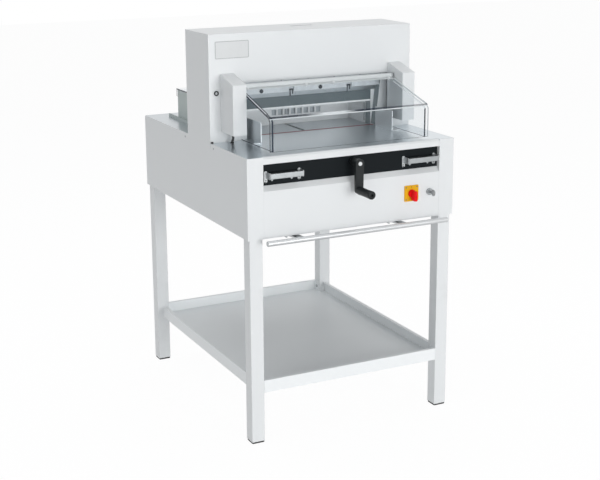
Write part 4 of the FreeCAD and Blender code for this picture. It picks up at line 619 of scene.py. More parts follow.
@dataclass(frozen=True)
class Span:
    """A box in the frame, from its low corner to its high corner."""

    low: Vector
    high: Vector

    @classmethod
    def of(cls, node: str) -> "Span":
        """The box of a construction node."""
        low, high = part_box(node)
        return cls(low, high)

    @classmethod
    def around(cls, points: Iterable[Vector]) -> "Span":
        """The box around some points.

        Args:
            points: the points.

        Returns:
            Their box.
        """
        held = list(points)
        low = Vector([min(p[i] for p in held) for i in range(3)])
        high = Vector([max(p[i] for p in held) for i in range(3)])
        return cls(low, high)

    @property
    def middle(self) -> Vector:
        """Centre of the box."""
        return (self.low + self.high) / 2

    @property
    def size(self) -> Vector:
        """Lengths of the box along the three axes."""
        return self.high - self.low


@dataclass(frozen=True)
class ScrewForm:
    """Proportions that all drawn screws share."""

    sides: int = 24
    dome_to_head: float = 0.45
    dome_to_radius: float = 0.25
    recess: float = 0.58
    recess_depth: float = 0.5
    arm: float = 0.55
    neck: float = 0.32
    shank: float = 0.48
    shank_sides: int = 16


@dataclass(frozen=True)
class ThreadForm:
    """Proportions that all drawn threads share."""

    per_turn: int = 14
    half_foot: float = 0.30
    root: float = 0.97
    crest_from: float = 0.75
    crest_to: float = 1.25


SCREW = ScrewForm()
THREAD = ThreadForm()


class Drive(Enum):
    """Shape of the recess that a screwdriver turns."""

    HEX = "hex"
    CROSS = "cross"
    SLOT = "slot"
    NONE = "none"

    def reach(self, angle: float) -> float:
        """Distance from the screw's middle to the recess's edge, as a share of its size.

        Args:
            angle: direction from the middle, in radians.

        Returns:
            The share, from just above 0 to 1.
        """
        if self is Drive.HEX:
            sixth = math.pi / 3
            return math.cos(sixth / 2) / math.cos(angle % sixth - sixth / 2)
        arms = 2 if self is Drive.CROSS else 1
        return 1.0 if abs(math.sin(arms * angle)) < SCREW.arm else SCREW.neck


def in_mm(*points: tuple[float, float]) -> list[tuple[float, float]]:
    """A profile that is written in millimetres, in metres."""
    return [(out * MM, at * MM) for out, at in points]


def linked(name: str, data: bpy.types.ID) -> bpy.types.Object:
    """Put a new object in the scene.

    Args:
        name: the object's name.
        data: its mesh, curve, lamp or camera.

    Returns:
        The object.
    """
    obj = bpy.data.objects.new(name, data)
    bpy.context.scene.collection.objects.link(obj)
    return obj


class Blank:
    """A workpiece: one mesh under construction."""

    def __init__(self) -> None:
        """Start with nothing."""
        self.bm = bmesh.new()

    @classmethod
    def of(cls, node: str) -> "Blank":
        """Start with a construction node's shape, welded, with its flat faces made whole.

        Args:
            node: the construction node.

        Returns:
            The workpiece.
        """
        blank = cls()
        blank.bm.from_mesh(frame["nodes"][node].data)
        bmesh.ops.remove_doubles(blank.bm, verts=blank.bm.verts, dist=0.004 * MM)
        bmesh.ops.dissolve_limit(
            blank.bm, angle_limit=math.radians(FLAT_ANGLE), verts=blank.bm.verts, edges=blank.bm.edges,
            use_dissolve_boundaries=False,
        )
        return blank

    def box(self, low: Sequence[float], high: Sequence[float]) -> list[bmesh.types.BMVert]:
        """Add a box.

        Args:
            low: its low corner.
            high: its high corner.

        Returns:
            Its vertices.
        """
        low, high = Vector(low), Vector(high)
        place = Matrix.Translation((low + high) / 2) @ Matrix.Diagonal((*(high - low), 1.0))
        return bmesh.ops.create_cube(self.bm, size=1.0, matrix=place)["verts"]

    def block(self, low: Sequence[float], high: Sequence[float], width: float, segments: int = 2) -> None:
        """Add a box between two corners with its edges rounded."""
        self.bevel(self.edges_of(self.box(low, high)), width, segments)

    def bar(self, radius: float, length: float, sides: int, place: Matrix) -> list[bmesh.types.BMVert]:
        """Add a closed cylinder.

        Args:
            radius: its radius.
            length: its length.
            sides: sides of its circle.
            place: where its middle and its upright axis go.

        Returns:
            Its vertices.
        """
        made = bmesh.ops.create_cone(
            self.bm, cap_ends=True, cap_tris=False, segments=sides, radius1=radius, radius2=radius,
            depth=length, matrix=place,
        )
        return made["verts"]

    def turned(
        self, profile: Sequence[tuple[float, float]], centre: Vector, axis: Axis, steps: int,
        ring: bool = False,
    ) -> None:
        """Turn a profile on a lathe.

        Args:
            profile: distance from the axis and place along it, point by point.
            centre: point of the axis that the places are measured from.
            axis: the axis.
            steps: sides of the turned circle.
            ring: whether the profile closes on itself, as for a washer.
        """
        along, side = axis.vector(), axis.across()
        points = [self.bm.verts.new(centre + side * out + along * at) for out, at in profile]
        pairs = zip(points, points[1:] + points[:1] if ring else points[1:])
        edges = [self.bm.edges.new(pair) for pair in pairs]
        bmesh.ops.spin(
            self.bm, geom=points + edges, cent=centre, axis=along, dvec=(0.0, 0.0, 0.0), angle=2 * math.pi,
            steps=steps, use_merge=True, use_duplicate=False,
        )

    def thread(
        self, start: Vector, axis: Axis, core: float, crest: float, length: float, lead: float,
    ) -> None:
        """Wind a raised thread round a bar.

        Args:
            start: where the thread begins, on the bar's axis.
            axis: the bar's axis.
            core: radius at the thread's root.
            crest: radius at its crest.
            length: length of the threaded stretch.
            lead: distance along the bar of one turn.
        """
        along, side = axis.vector(), axis.across()
        foot, half = core * THREAD.root, lead * THREAD.half_foot
        rise, fall = half * THREAD.crest_from, half * THREAD.crest_to
        corners = ((foot, 0.0), (crest, rise), (crest, fall), (foot, half * 2.0))
        points = [self.bm.verts.new(start + side * out + along * at) for out, at in corners]
        face = self.bm.faces.new(points)
        steps = int((length - 2 * half) / lead * THREAD.per_turn)
        bmesh.ops.spin(
            self.bm, geom=[face, *face.edges, *points], cent=start, axis=along,
            dvec=along * (lead / THREAD.per_turn), angle=2 * math.pi * steps / THREAD.per_turn, steps=steps,
            use_merge=False, use_duplicate=False,
        )
        open_edges = [e for e in self.bm.edges if e.is_boundary]
        if open_edges:
            bmesh.ops.holes_fill(self.bm, edges=open_edges, sides=0)

    def screw(
        self, top: Vector, out: Vector, radius: float, head: float, length: float, drive: Drive,
    ) -> None:
        """Add a screw: a domed head with its recess, and the shank behind it.

        Args:
            top: middle of the head's outer face.
            out: direction that the head faces.
            radius: radius of the head.
            head: height of the head.
            length: length of the whole screw.
            drive: shape of its recess.
        """
        mine = set(self.bar(radius, head, SCREW.sides, Matrix.Translation((0.0, 0.0, -head / 2))))
        rim = {e for v in mine for e in v.link_edges if all(abs(w.co.z) < head * 0.01 for w in e.verts)}
        dome = min(head * SCREW.dome_to_head, radius * SCREW.dome_to_radius)
        mine |= set(self.bevel(rim, dome, 3))
        mine = {v for v in mine if v.is_valid}
        if drive is not Drive.NONE:
            face = max((f for v in mine for f in v.link_faces), key=lambda f: f.calc_center_median().z)
            size = radius * SCREW.recess
            inner = bmesh.ops.inset_region(
                self.bm, faces=[face], thickness=radius - dome - size, use_even_offset=True)["faces"]
            mine |= {v for f in inner for v in f.verts}
            for vert in face.verts:
                reach = drive.reach(math.atan2(vert.co.y, vert.co.x)) * size
                share = reach / max(vert.co.xy.length, NOTHING)
                vert.co.x, vert.co.y = vert.co.x * share, vert.co.y * share
            mine |= set(self.sink(face, -UPWARD * (head * SCREW.recess_depth)))
        if length > head:
            back = Matrix.Translation((0.0, 0.0, -(head + length) / 2))
            mine |= set(self.bar(radius * SCREW.shank, length - head, SCREW.shank_sides, back))
        turn = out.to_track_quat("Z", "Y").to_matrix().to_4x4()
        bmesh.ops.transform(self.bm, matrix=Matrix.Translation(top) @ turn, verts=list(mine))

    def islands(self) -> list[list[bmesh.types.BMVert]]:
        """Find the loose solids of the workpiece.

        Returns:
            The vertices of each.
        """
        left = set(self.bm.verts)
        found = []
        while left:
            group, waiting = [], [left.pop()]
            while waiting:
                vert = waiting.pop()
                group.append(vert)
                for link in vert.link_edges:
                    other = link.other_vert(vert)
                    if other in left:
                        left.remove(other)
                        waiting.append(other)
            found.append(group)
        return found

    def edges_of(self, verts: Iterable[bmesh.types.BMVert]) -> list[bmesh.types.BMEdge]:
        """Edges whose two ends are both among some vertices."""
        chosen = set(verts)
        return [e for e in self.bm.edges if e.verts[0] in chosen and e.verts[1] in chosen]

    def sharp(self, angle: float = SHARP_ANGLE) -> list[bmesh.types.BMEdge]:
        """Edges where two faces meet at more than an angle in degrees."""
        limit = math.radians(angle)
        return [e for e in self.bm.edges if len(e.link_faces) == 2 and e.calc_face_angle(0.0) > limit]

    def bevel(
        self, edges: Iterable[bmesh.types.BMEdge], width: float, segments: int = 2,
    ) -> list[bmesh.types.BMVert]:
        """Round some edges.

        Args:
            edges: the edges.
            width: width of the rounding.
            segments: steps of the rounding.

        Returns:
            The new vertices.
        """
        if not edges:
            return []
        made = bmesh.ops.bevel(
            self.bm, geom=list(edges), offset=width, offset_type="OFFSET", segments=segments, profile=0.5,
            affect="EDGES", material=-1, clamp_overlap=True,
        )
        return made["verts"]

    def sink(self, face: bmesh.types.BMFace, way: Vector) -> list[bmesh.types.BMVert]:
        """Press one face in, with walls round it.

        Args:
            face: the face.
            way: how far and in which direction it goes.

        Returns:
            The vertices of the pressed face.
        """
        sunk = bmesh.ops.extrude_discrete_faces(self.bm, faces=[face])["faces"][0]
        for vert in sunk.verts:
            vert.co += way
        return list(sunk.verts)

    def paint(self, index: int, chosen: Callable[[bmesh.types.BMFace], bool]) -> None:
        """Give some faces one of the object's materials.

        Args:
            index: the material's number.
            chosen: tells whether a face gets it.
        """
        for face in self.bm.faces:
            if chosen(face):
                face.material_index = index

    def cut(self, point: Vector, axis: Axis) -> None:
        """Divide every face that a plane passes through.

        Args:
            point: a point of the plane.
            axis: the axis that the plane is square to.
        """
        bmesh.ops.bisect_plane(
            self.bm, geom=[*self.bm.verts, *self.bm.edges, *self.bm.faces], plane_co=point,
            plane_no=axis.vector(),
        )

    def outward(self) -> None:
        """Weld the shape and turn every face outwards."""
        bmesh.ops.remove_doubles(self.bm, verts=self.bm.verts, dist=0.002 * MM)
        bmesh.ops.recalc_face_normals(self.bm, faces=self.bm.faces)

    def shown(self, name: str, finishes: Sequence[Finish]) -> bpy.types.Object:
        """Turn the shape into an object with its finishes and shading.

        Faces that meet at a small angle shade as one surface. The shading of a rounded edge follows
        the flat faces beside it, so that these shade flat up to their borders.

        Args:
            name: the object's name.
            finishes: one finish for each material number of its faces.

        Returns:
            The object, with its place in its mesh.
        """
        limit = math.radians(SMOOTH_ANGLE)
        for face in self.bm.faces:
            face.smooth = True
        for edge in self.bm.edges:
            edge.smooth = len(edge.link_faces) == 2 and edge.calc_face_angle(0.0) < limit
        mesh = bpy.data.meshes.new(name)
        self.bm.to_mesh(mesh)
        self.bm.free()
        for finish in finishes:
            mesh.materials.append(finish.made())
        obj = linked(name, mesh)
        obj.modifiers.new("even_faces", "WEIGHTED_NORMAL").keep_sharp = True
        return obj


def body_name(node: str) -> str:
    """The moving body that a construction node belongs to."""
    return body_of(frame["nodes"][node])[0]


def dress(node: str, finish: Finish) -> None:
    """Give a construction node its finish.

    Args:
        node: the construction node, which keeps its shape.
        finish: what it is finished in.
    """
    mesh = frame["nodes"][node].data
    mesh.materials.clear()
    mesh.materials.append(finish.made())
    log.info("dressed %s in %s", node, finish.value.name)


def ride_with(obj: bpy.types.Object, beside: str) -> None:
    """Let a further piece ride with a construction node.

    Args:
        obj: the piece.
        beside: the construction node.
    """
    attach(obj, body_name(beside))
    log.info("piece %s rides with %s", obj.name, beside)


def finished(blank: Blank, node: str, *finishes: Finish) -> None:
    """Let a finished shape stand for a construction node and ride on its body.

    Args:
        blank: the finished shape.
        node: the construction node.
        finishes: one finish for each material number of its faces.
    """
    obj = blank.shown(node + "_fine", finishes)
    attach(obj, body_name(node))
    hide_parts(node)
    log.info("piece %s stands for %s", obj.name, node)


def softened(node: str, finish: Finish, width: float, segments: int = 2) -> None:
    """Replace a construction node by its own shape with the sharp edges rounded.

    Args:
        node: the construction node.
        finish: what it is finished in.
        width: width of the rounding.
        segments: steps of the rounding.
    """
    blank = Blank.of(node)
    blank.bevel(blank.sharp(), width, segments)
    finished(blank, node, finish)


def added(blank: Blank, name: str, beside: str, finish: Finish) -> None:
    """Show a further piece that rides with a construction node.

    Args:
        blank: the finished shape.
        name: the piece's name.
        beside: the construction node that carries it.
        finish: what it is finished in.
    """
    blank.outward()
    ride_with(blank.shown(name, [finish]), beside)


@dataclass(frozen=True)
class Fastener:
    """How one screw or bolt of a node is drawn."""

    out: Vector
    head: float
    drive: Drive


def fitted_screws(node: str, finish: Finish, rule: Callable[[Span], Fastener]) -> None:
    """Replace every plain screw of a node by one with a domed head and a recess, in the same place.

    Args:
        node: the node of like screws.
        finish: what they are finished in.
        rule: gives, for the box of one screw, the way it faces, its head and its recess.
    """
    plain, made = Blank.of(node), Blank()
    for group in plain.islands():
        places = [v.co.copy() for v in group]
        kind = rule(Span.around(places))
        heights = [p.dot(kind.out) for p in places]
        top = max(heights)
        across = [p - kind.out * p.dot(kind.out) for p in places]
        middle = Span.around(across).middle
        middle -= kind.out * middle.dot(kind.out)
        radius = max((p - middle).length for p in across)
        made.screw(middle + kind.out * top, kind.out, radius, kind.head, top - min(heights), kind.drive)
    plain.bm.free()
    made.outward()
    finished(made, node, finish)


@dataclass(frozen=True)
class Lamp:
    """One square lamp that faces a target."""

    name: str
    place: Triple
    target: Triple
    size: float
    watts: float

    def hang(self) -> None:
        """Hang the lamp in the studio."""
        data = bpy.data.lights.new(self.name, "AREA")
        data.shape, data.size, data.energy = "SQUARE", self.size, self.watts
        obj = linked(self.name, data)
        place, target = Vector(self.place), Vector(self.target)
        aim = (target - place).to_track_quat("-Z", "Y").to_matrix().to_4x4()
        obj.matrix_world = Matrix.Translation(place) @ aim


@dataclass
class Studio:
    """Plain pale floor, soft lamps and the camera of the photograph."""

    eye: Vector = Vector((-1.8884, -3.7915, 1.7084))
    heading: float = 26.529
    dip: float = 13.746
    roll: float = -0.32
    sensor: float = 36.0
    lens: float = 74.69
    shift: float = -0.06
    sight: float = 60.0
    floor_reach: float = 14.0
    floor_dull: Colour = (0.90, 0.90, 0.90)
    floor_fair: Colour = (0.93, 0.93, 0.93)
    floor_glow: float = 0.14
    fill: Colour = (0.97, 0.985, 1.0)
    fill_strength: float = 0.40
    lamps: tuple[Lamp, ...] = (
        Lamp("front_lamp", (0.9, -8.2, 1.0), (0.0, 0.0, 0.5), 3.2, 330.0),
        Lamp("side_lamp", (-6.5, -3.5, 0.6), (0.0, 0.0, 0.4), 2.2, 45.0),
        Lamp("top_lamp", (0.0, 0.7, 4.2), (0.0, 0.1, 0.8), 4.2, 46.0),
    )

    def camera(self) -> None:
        """Set up the camera at the photograph's viewing angle."""
        data = bpy.data.cameras.new("camera")
        data.sensor_width, data.lens, data.shift_y = self.sensor, self.lens, self.shift
        data.clip_end = self.sight
        obj = linked("camera", data)
        turn, dip = math.radians(self.heading), math.radians(self.dip)
        ahead = Vector((math.sin(turn) * math.cos(dip), math.cos(turn) * math.cos(dip), -math.sin(dip)))
        look = ahead.to_track_quat("-Z", "Y").to_matrix().to_4x4()
        tilt = Matrix.Rotation(math.radians(self.roll), 4, "Z")
        obj.matrix_world = Matrix.Translation(self.eye) @ look @ tilt
        bpy.context.scene.camera = obj

    def _seen(self, s: Shading) -> Wire:
        """Tell apart the rays that should meet the plain white background.

        Args:
            s: the graph that asks.

        Returns:
            1 for such rays and 0 for the others.
        """
        rays = ("Is Camera Ray", "Is Glossy Ray", "Is Transmission Ray")
        path = [s.node("ShaderNodeLightPath", {}, {}, name) for name in rays]
        return (path[0] + path[1] + path[2]).clamped()

    def floor(self) -> None:
        """Lay a pale floor that shows white and keeps a soft shadow."""
        s = Shading.named("studio_floor")
        cloth = s.blend(s.noise(1.2, 2.0), self.floor_dull, self.floor_fair)
        lit = s.principled({"Base Color": cloth, "Roughness": 0.8})
        white = s.node("ShaderNodeEmission", {}, {"Color": WHITE, "Strength": 1.04})
        share = self.floor_glow + self._seen(s) * (0.90 - self.floor_glow)
        material = s.finish(s.node("ShaderNodeMixShader", {}, {0: share, 1: lit, 2: white}))
        blank = Blank()
        bmesh.ops.create_grid(blank.bm, x_segments=4, y_segments=4, size=self.floor_reach)
        mesh = bpy.data.meshes.new("floor")
        blank.bm.to_mesh(mesh)
        blank.bm.free()
        mesh.materials.append(material)
        linked("floor", mesh)

    def sky(self) -> None:
        """Light the scene evenly and show white behind the machine."""
        world = bpy.data.worlds.new("studio")
        bpy.context.scene.world = world
        s = Shading(world, "ShaderNodeOutputWorld")
        inputs = {"Color": (*self.fill, 1.0), "Strength": self.fill_strength}
        fill = s.node("ShaderNodeBackground", {}, inputs)
        white = s.node("ShaderNodeBackground", {}, {"Color": WHITE, "Strength": 1.0})
        s.finish(s.node("ShaderNodeMixShader", {}, {0: self._seen(s), 1: fill, 2: white}))

    def build(self) -> None:
        """Build the whole studio."""
        self.camera()
        self.floor()
        self.sky()
        for lamp in self.lamps:
            lamp.hang()
        bpy.context.scene.view_settings.view_transform = "Standard"


@dataclass
class Stand:
    """Four tube legs on rubber pads, with the folded shelf tray between them."""

    fold: float = 1.4 * MM
    pad_round: float = 4.0 * MM
    pad_rim: float = 0.8 * MM
    level: float = 0.001 * MM

    def pads(self) -> None:
        """Rubber pads with rounded corners and softened rims."""
        plain, made = Blank.of("foot_pads"), Blank()
        for group in plain.islands():
            span = Span.around(v.co for v in group)
            sides = made.edges_of(made.box(span.low, span.high))
            made.bevel([e for e in sides if not self._is_level(e)], self.pad_round, 4)
        made.bevel([e for e in made.sharp(SQUARE_ANGLE) if self._is_level(e)], self.pad_rim)
        plain.bm.free()
        made.outward()
        finished(made, "foot_pads", Finish.FOOT_RUBBER)

    def _is_level(self, edge: bmesh.types.BMEdge) -> bool:
        """Whether an edge lies level."""
        return abs(edge.verts[0].co.z - edge.verts[1].co.z) < self.level

    def build(self) -> None:
        """Build the stand."""
        dress("legs", Finish.LEG_PAINT)
        self.pads()
        softened("shelf_tray", Finish.TRAY_PAINT, self.fold, 3)


@dataclass
class Cabinet:
    """Sheet-metal cabinet with its front panel, black strip, nose and rear panel."""

    edge: float = 0.5 * MM
    fold: float = 1.2 * MM
    strip_edge: float = 0.3 * MM
    screw_radius: float = 3.2 * MM
    screw_proud: float = 0.9 * MM
    screw_inset: float = 22.0 * MM
    pins: tuple[tuple[float, float], ...] = ((-7.0 * MM, -1.5 * MM), (0.0, 2.0 * MM), (7.0 * MM, -1.5 * MM))
    pin_half: tuple[float, float] = (1.0 * MM, 2.0 * MM)
    pin_reach: tuple[float, float] = (16.0 * MM, 5.0 * MM)

    def shells(self) -> None:
        """Painted sheets with rounded folds."""
        for node in ("side_panel_left", "side_panel_right", "rear_panel"):
            softened(node, Finish.WHITE_PAINT, self.edge)
        softened("base_plate", Finish.ZINC, self.edge)
        for node in ("front_panel", "front_rail"):
            softened(node, Finish.WHITE_PAINT, self.fold, 3)
        softened("control_strip", Finish.BLACK_PANEL, self.strip_edge)

    def rear_screws(self) -> None:
        """Cross-headed screws along the upper and the lower edge of the rear panel."""
        panel, inset, proud = Span.of("rear_panel"), self.screw_inset, self.screw_proud
        made = Blank()
        for x in (panel.low.x + inset, 0.0, panel.high.x - inset):
            for z in (panel.low.z + inset, panel.high.z - inset):
                top = Vector((x, panel.high.y + proud, z))
                made.screw(top, REARWARD, self.screw_radius, proud, proud * 2, Drive.CROSS)
        added(made, "rear_panel_screws", "rear_panel", Finish.ZINC)

    def inlet(self) -> None:
        """Mains inlet with the three pins in its mouth."""
        softened("mains_inlet", Finish.BLACK_PLASTIC, self.edge)
        span, made = Span.of("mains_inlet"), Blank()
        (half_x, half_z), (root, tip) = self.pin_half, self.pin_reach
        for offset, rise in self.pins:
            x, z = span.middle.x + offset, span.middle.z + rise
            low = (x - half_x, span.high.y - root, z - half_z)
            made.block(low, (x + half_x, span.high.y - tip, z + half_z), 0.3 * MM, 1)
        added(made, "inlet_blades", "mains_inlet", Finish.ZINC)

    def build(self) -> None:
        """Build the cabinet."""
        self.shells()
        self.rear_screws()
        self.inlet()


@dataclass
class Tables:
    """Plated tables, the cutting stick between them and the side lays."""

    edge: float = 0.8 * MM
    stick_edge: float = 0.6 * MM
    lay_edge: float = 0.7 * MM

    def lays(self) -> None:
        """Plated side lays on the front table and white ones on the rear table."""
        made = Blank.of("side_lays")
        made.bevel(made.sharp(), self.lay_edge)
        line = Span.of("cutting_stick").high.y
        made.paint(1, lambda f: f.calc_center_median().y > line)
        finished(made, "side_lays", Finish.PLATED_LAY, Finish.GAUGE_PAINT)

    def build(self) -> None:
        """Build the tables and what stands on them."""
        softened("front_table", Finish.PLATED_TABLE, self.edge, 3)
        softened("rear_table", Finish.REAR_TABLE, self.edge, 3)
        softened("cutting_stick", Finish.STICK_PLASTIC, self.stick_edge, 3)
        self.lays()


@dataclass
class HeavyFrame:
    """Side plates, beams and slanted tracks."""

    edge: float = 1.2 * MM
    track_edge: float = 0.6 * MM
    facing_in: float = -0.1

    def _shadowed(self, node: str, width: float, segments: int) -> None:
        """Paint a pair of side pieces pale, with painted shade on the flanks that face each other.

        Args:
            node: the node with the left and the right piece.
            width: width of the rounded edges.
            segments: steps of the rounding.
        """
        made = Blank.of(node)
        made.bevel(made.sharp(), width, segments)
        # Painted shade on the inner flanks, which face the other piece of the pair.
        made.paint(1, lambda f: f.normal.x * f.calc_center_median().x < self.facing_in)
        finished(made, node, Finish.FRAME_PAINT, Finish.FLANK_PAINT)

    def build(self) -> None:
        """Build the frame."""
        self._shadowed("side_frames", self.edge, 3)
        self._shadowed("blade_guides", self.track_edge, 2)
        softened("bed_beam", Finish.CAST_IRON, self.edge, 3)
        softened("top_beam", Finish.CAST_IRON, self.edge, 3)


@dataclass
class Housing:
    """Covers of the housing, the bare label plate and the covers' fasteners."""

    fold: float = 1.0 * MM
    plate_margin: float = 1.6 * MM
    plate_rim: float = 1.2 * MM
    plate_depth: float = 0.35 * MM
    lock_x: float = 351.0 * MM
    lock_z: float = 1103.0 * MM
    lock_out: float = 2.3 * MM
    plug_radius: float = 4.2 * MM
    plug_height: float = 5.0 * MM
    leg_bolt_head: float = 4.0 * MM
    side_screw_head: float = 1.0 * MM
    lock_screw_head: float = 2.5 * MM
    smallest_cross: float = 5.0 * MM

    def covers(self) -> None:
        """Front, top and rear cover with rounded folds."""
        for node in ("housing_front_cover", "housing_top_cover", "housing_rear_cover"):
            softened(node, Finish.WHITE_PAINT, self.fold, 3)

    def label_plate(self) -> None:
        """Bare plate with a slightly raised rim."""
        made = Blank.of("blank_plate")
        face = max(made.bm.faces, key=lambda f: -f.normal.y * f.calc_area())
        for width, index in ((self.plate_margin, 0), (self.plate_rim, 1)):
            band = bmesh.ops.inset_region(made.bm, faces=[face], thickness=width, use_even_offset=True)
            for side in band["faces"]:
                side.material_index = index
        made.sink(face, REARWARD * self.plate_depth)
        finished(made, "blank_plate", Finish.PLATE_FILM, Finish.GREY_PLASTIC)

    def fastener(self, span: Span) -> Fastener:
        """How a fixing screw is drawn, from where it sits.

        Args:
            span: the box of the screw.

        Returns:
            The way it faces, its head and its recess.
        """
        outward = Vector((1.0 if span.middle.x > 0 else -1.0, 0.0, 0.0))
        cabinet, table = Span.of("base_plate"), Span.of("front_table")
        if span.low.z < cabinet.high.z < span.high.z:
            return Fastener(UPWARD, span.high.z - cabinet.high.z, Drive.HEX)
        if span.high.z < cabinet.low.z:
            return Fastener(-outward, self.leg_bolt_head, Drive.HEX)
        if abs(span.middle.x) > table.high.x - 2.0 * MM:
            return Fastener(outward, self.side_screw_head, Drive.CROSS)
        if span.low.z > table.high.z:
            return Fastener(FRONTWARD, self.lock_screw_head, Drive.SLOT)
        drive = Drive.CROSS if span.size.x > self.smallest_cross else Drive.NONE
        return Fastener(FRONTWARD, span.size.y, drive)

    def washers(self) -> None:
        """Dark rings round the slotted middles of the front cover's two lock screws."""
        cover, made = Span.of("housing_front_cover"), Blank()
        profile = in_mm((4.3, 0.0), (8.3, 0.0), (8.2, -0.7), (7.6, -1.1), (4.6, -1.1))
        for x in (-self.lock_x, self.lock_x):
            centre = Vector((x, cover.low.y - self.lock_out, self.lock_z))
            made.turned(profile, centre, Axis.Y, 32, ring=True)
        added(made, "lock_washers", "housing_front_cover", Finish.BLACK_PLASTIC)

    def plug(self) -> None:
        """Small black plug in the left corner between the housing, the table and the side panel."""
        cover, table = Span.of("housing_front_cover"), Span.of("front_table")
        at = Vector((cover.low.x + 2.6 * MM, cover.low.y - 4.4 * MM, table.high.z + self.plug_height / 2))
        made = Blank()
        made.bar(self.plug_radius, self.plug_height, 20, Matrix.Translation(at))
        made.bevel(made.sharp(SQUARE_ANGLE), 0.8 * MM)
        added(made, "corner_plug", "housing_front_cover", Finish.FOOT_RUBBER)

    def build(self) -> None:
        """Build the housing."""
        self.covers()
        self.label_plate()
        self.washers()
        self.plug()
        fitted_screws("fixing_screws", Finish.ZINC, self.fastener)


@dataclass
class FrontGuard:
    """Columns, the rail that turns between them and the clear panes on it."""

    column_round: float = 3.2 * MM
    rail_round: float = 0.5 * MM
    rail_angle: float = 40.0
    cap_length: float = 9.0 * MM
    cap_over: float = 0.6 * MM
    cap_under: float = 18.3 * MM
    cap_round: float = 2.2 * MM
    lowest: float = 1.0 * MM
    painted_bend_band: float = 5.5 * MM
    painted_highlight_line: float = 3.0 * MM
    valley_line: float = 1.2 * MM
    slope_line: float = 6.0 * MM
    margin: float = 4.0 * MM
    screw_head: float = 2.0 * MM
    lead_inset: float = 21.0 * MM
    grommet_radius: float = 7.0 * MM
    grommet_height: float = 3.5 * MM
    grommet_bore: float = 4.1 * MM
    grommet_lip: float = 5.0 * MM

    def columns(self) -> None:
        """Moulded columns with rounded edges."""
        for node in ("column_left", "column_right"):
            softened(node, Finish.COLUMN_PLASTIC, self.column_round, 4)

    def rail(self) -> None:
        """Anodised rail with a bright cap at each end."""
        made = Blank.of("guard_rail")
        made.bevel(made.sharp(self.rail_angle), self.rail_round)
        finished(made, "guard_rail", Finish.RAIL_ALUMINIUM)
        pane, rail, caps = Span.of("guard_pane"), Span.of("guard_rail"), Blank()
        inner, outer = pane.high.x - self.cap_length, pane.high.x + self.cap_over
        y0, y1 = pane.high.y - 1.0 * MM, rail.high.y + 0.4 * MM
        z0, z1 = rail.high.z - self.cap_under, rail.high.z + 0.3 * MM
        for x0, x1 in ((-outer, -inner), (inner, outer)):
            caps.block((x0, y0, z0), (x1, y1, z1), self.cap_round, 3)
        added(caps, "rail_caps", "guard_rail", Finish.CHROME)

    def _dress_pane(self, made: Blank) -> None:
        """Paint the pane's cut edges and its bend with painted reflections and painted highlights.

        Material 0 is the clear face, 1 a cut edge with a painted dark reflection, 2 an edge or line with a
        painted highlight and 3 the bend's painted reflection.

        Args:
            made: the pane's shape with its flat faces whole.
        """
        pane = Span.of("guard_pane")
        creases = [e for e in made.sharp(10.0) if abs(e.verts[0].co.x - e.verts[1].co.x) > 0.3
                   and all(f.normal.y < -0.05 and f.normal.z > -0.3 for f in e.link_faces)]
        ridge, valley = max(e.verts[0].co.z for e in creases), min(e.verts[0].co.z for e in creases)
        # Below the ridge, a band for the bend's painted reflection, and under it a painted highlight line.
        dark, slope = ridge - self.painted_bend_band, ridge + self.slope_line
        lit = dark - self.painted_highlight_line
        for level in (dark, lit, valley + self.valley_line, slope):
            made.cut(UPWARD * level, Axis.Z)
        near, far = pane.high.x - self.margin, pane.high.x - self.margin * 2
        for x in (-near, -far, near, far):
            made.cut(Vector((x, 0.0, 0.0)), Axis.X)
        # Painted light: painted dark reflections on the bottom, the left end and the left slope's margin;
        # painted highlights on the right end and the outer slope margins.
        for face in made.bm.faces:
            at, normal = face.calc_center_median(), face.normal
            bend = normal.y < -0.3 and 0.2 < normal.z < 0.85 and at.z < ridge
            upper = normal.z > 0.5 and at.z > slope
            if normal.z < -0.9 and at.z < pane.low.z + self.lowest:
                face.material_index = 1
            elif bend and at.z > lit:
                face.material_index = 3 if at.z > dark else 2
            elif abs(normal.x) > 0.9:
                face.material_index = 2 if normal.x > 0 else 1
            elif upper and abs(at.x) > near:
                face.material_index = 2
            elif upper and at.x < -far:
                face.material_index = 1

    def _dress_sides(self, made: Blank) -> None:
        """Paint the edges of the side panes with painted dark reflections, and painted highlights along the
        right pane's slope.

        Args:
            made: the side panes' shape with its flat faces whole.
        """
        made.paint(1, lambda f: abs(f.normal.x) <= 0.5 and f.normal.y <= 0.7)
        right_slope = [f for f in made.bm.faces if f.normal.z > 0.5 and f.calc_center_median().x > 0.0]
        made.paint(2, lambda f: f.material_index == 1 and f in right_slope)

    def panes(self) -> None:
        """Bent front pane and the two side panes, clear, with painted dark reflections on cut edges and
        painted highlights on corners.
        """
        glazing = (Finish.CLEAR, Finish.CUT_EDGE, Finish.BRIGHT_EDGE, Finish.BEND_SHEEN)
        for node, dressing in (("guard_pane", self._dress_pane), ("guard_side_panes", self._dress_sides)):
            made = Blank.of(node)
            dressing(made)
            finished(made, node, *glazing)

    def screws(self) -> None:
        """White screws that hold the pane to the rail's lip."""
        pane = Blank.of("guard_pane")
        slopes = [f for f in pane.bm.faces if f.normal.z > 0.5]
        out = max(slopes, key=lambda f: f.calc_area()).normal.copy()
        pane.bm.free()
        kind = Fastener(out, self.screw_head, Drive.CROSS)
        fitted_screws("guard_screws", Finish.COLUMN_PLASTIC, lambda span: kind)

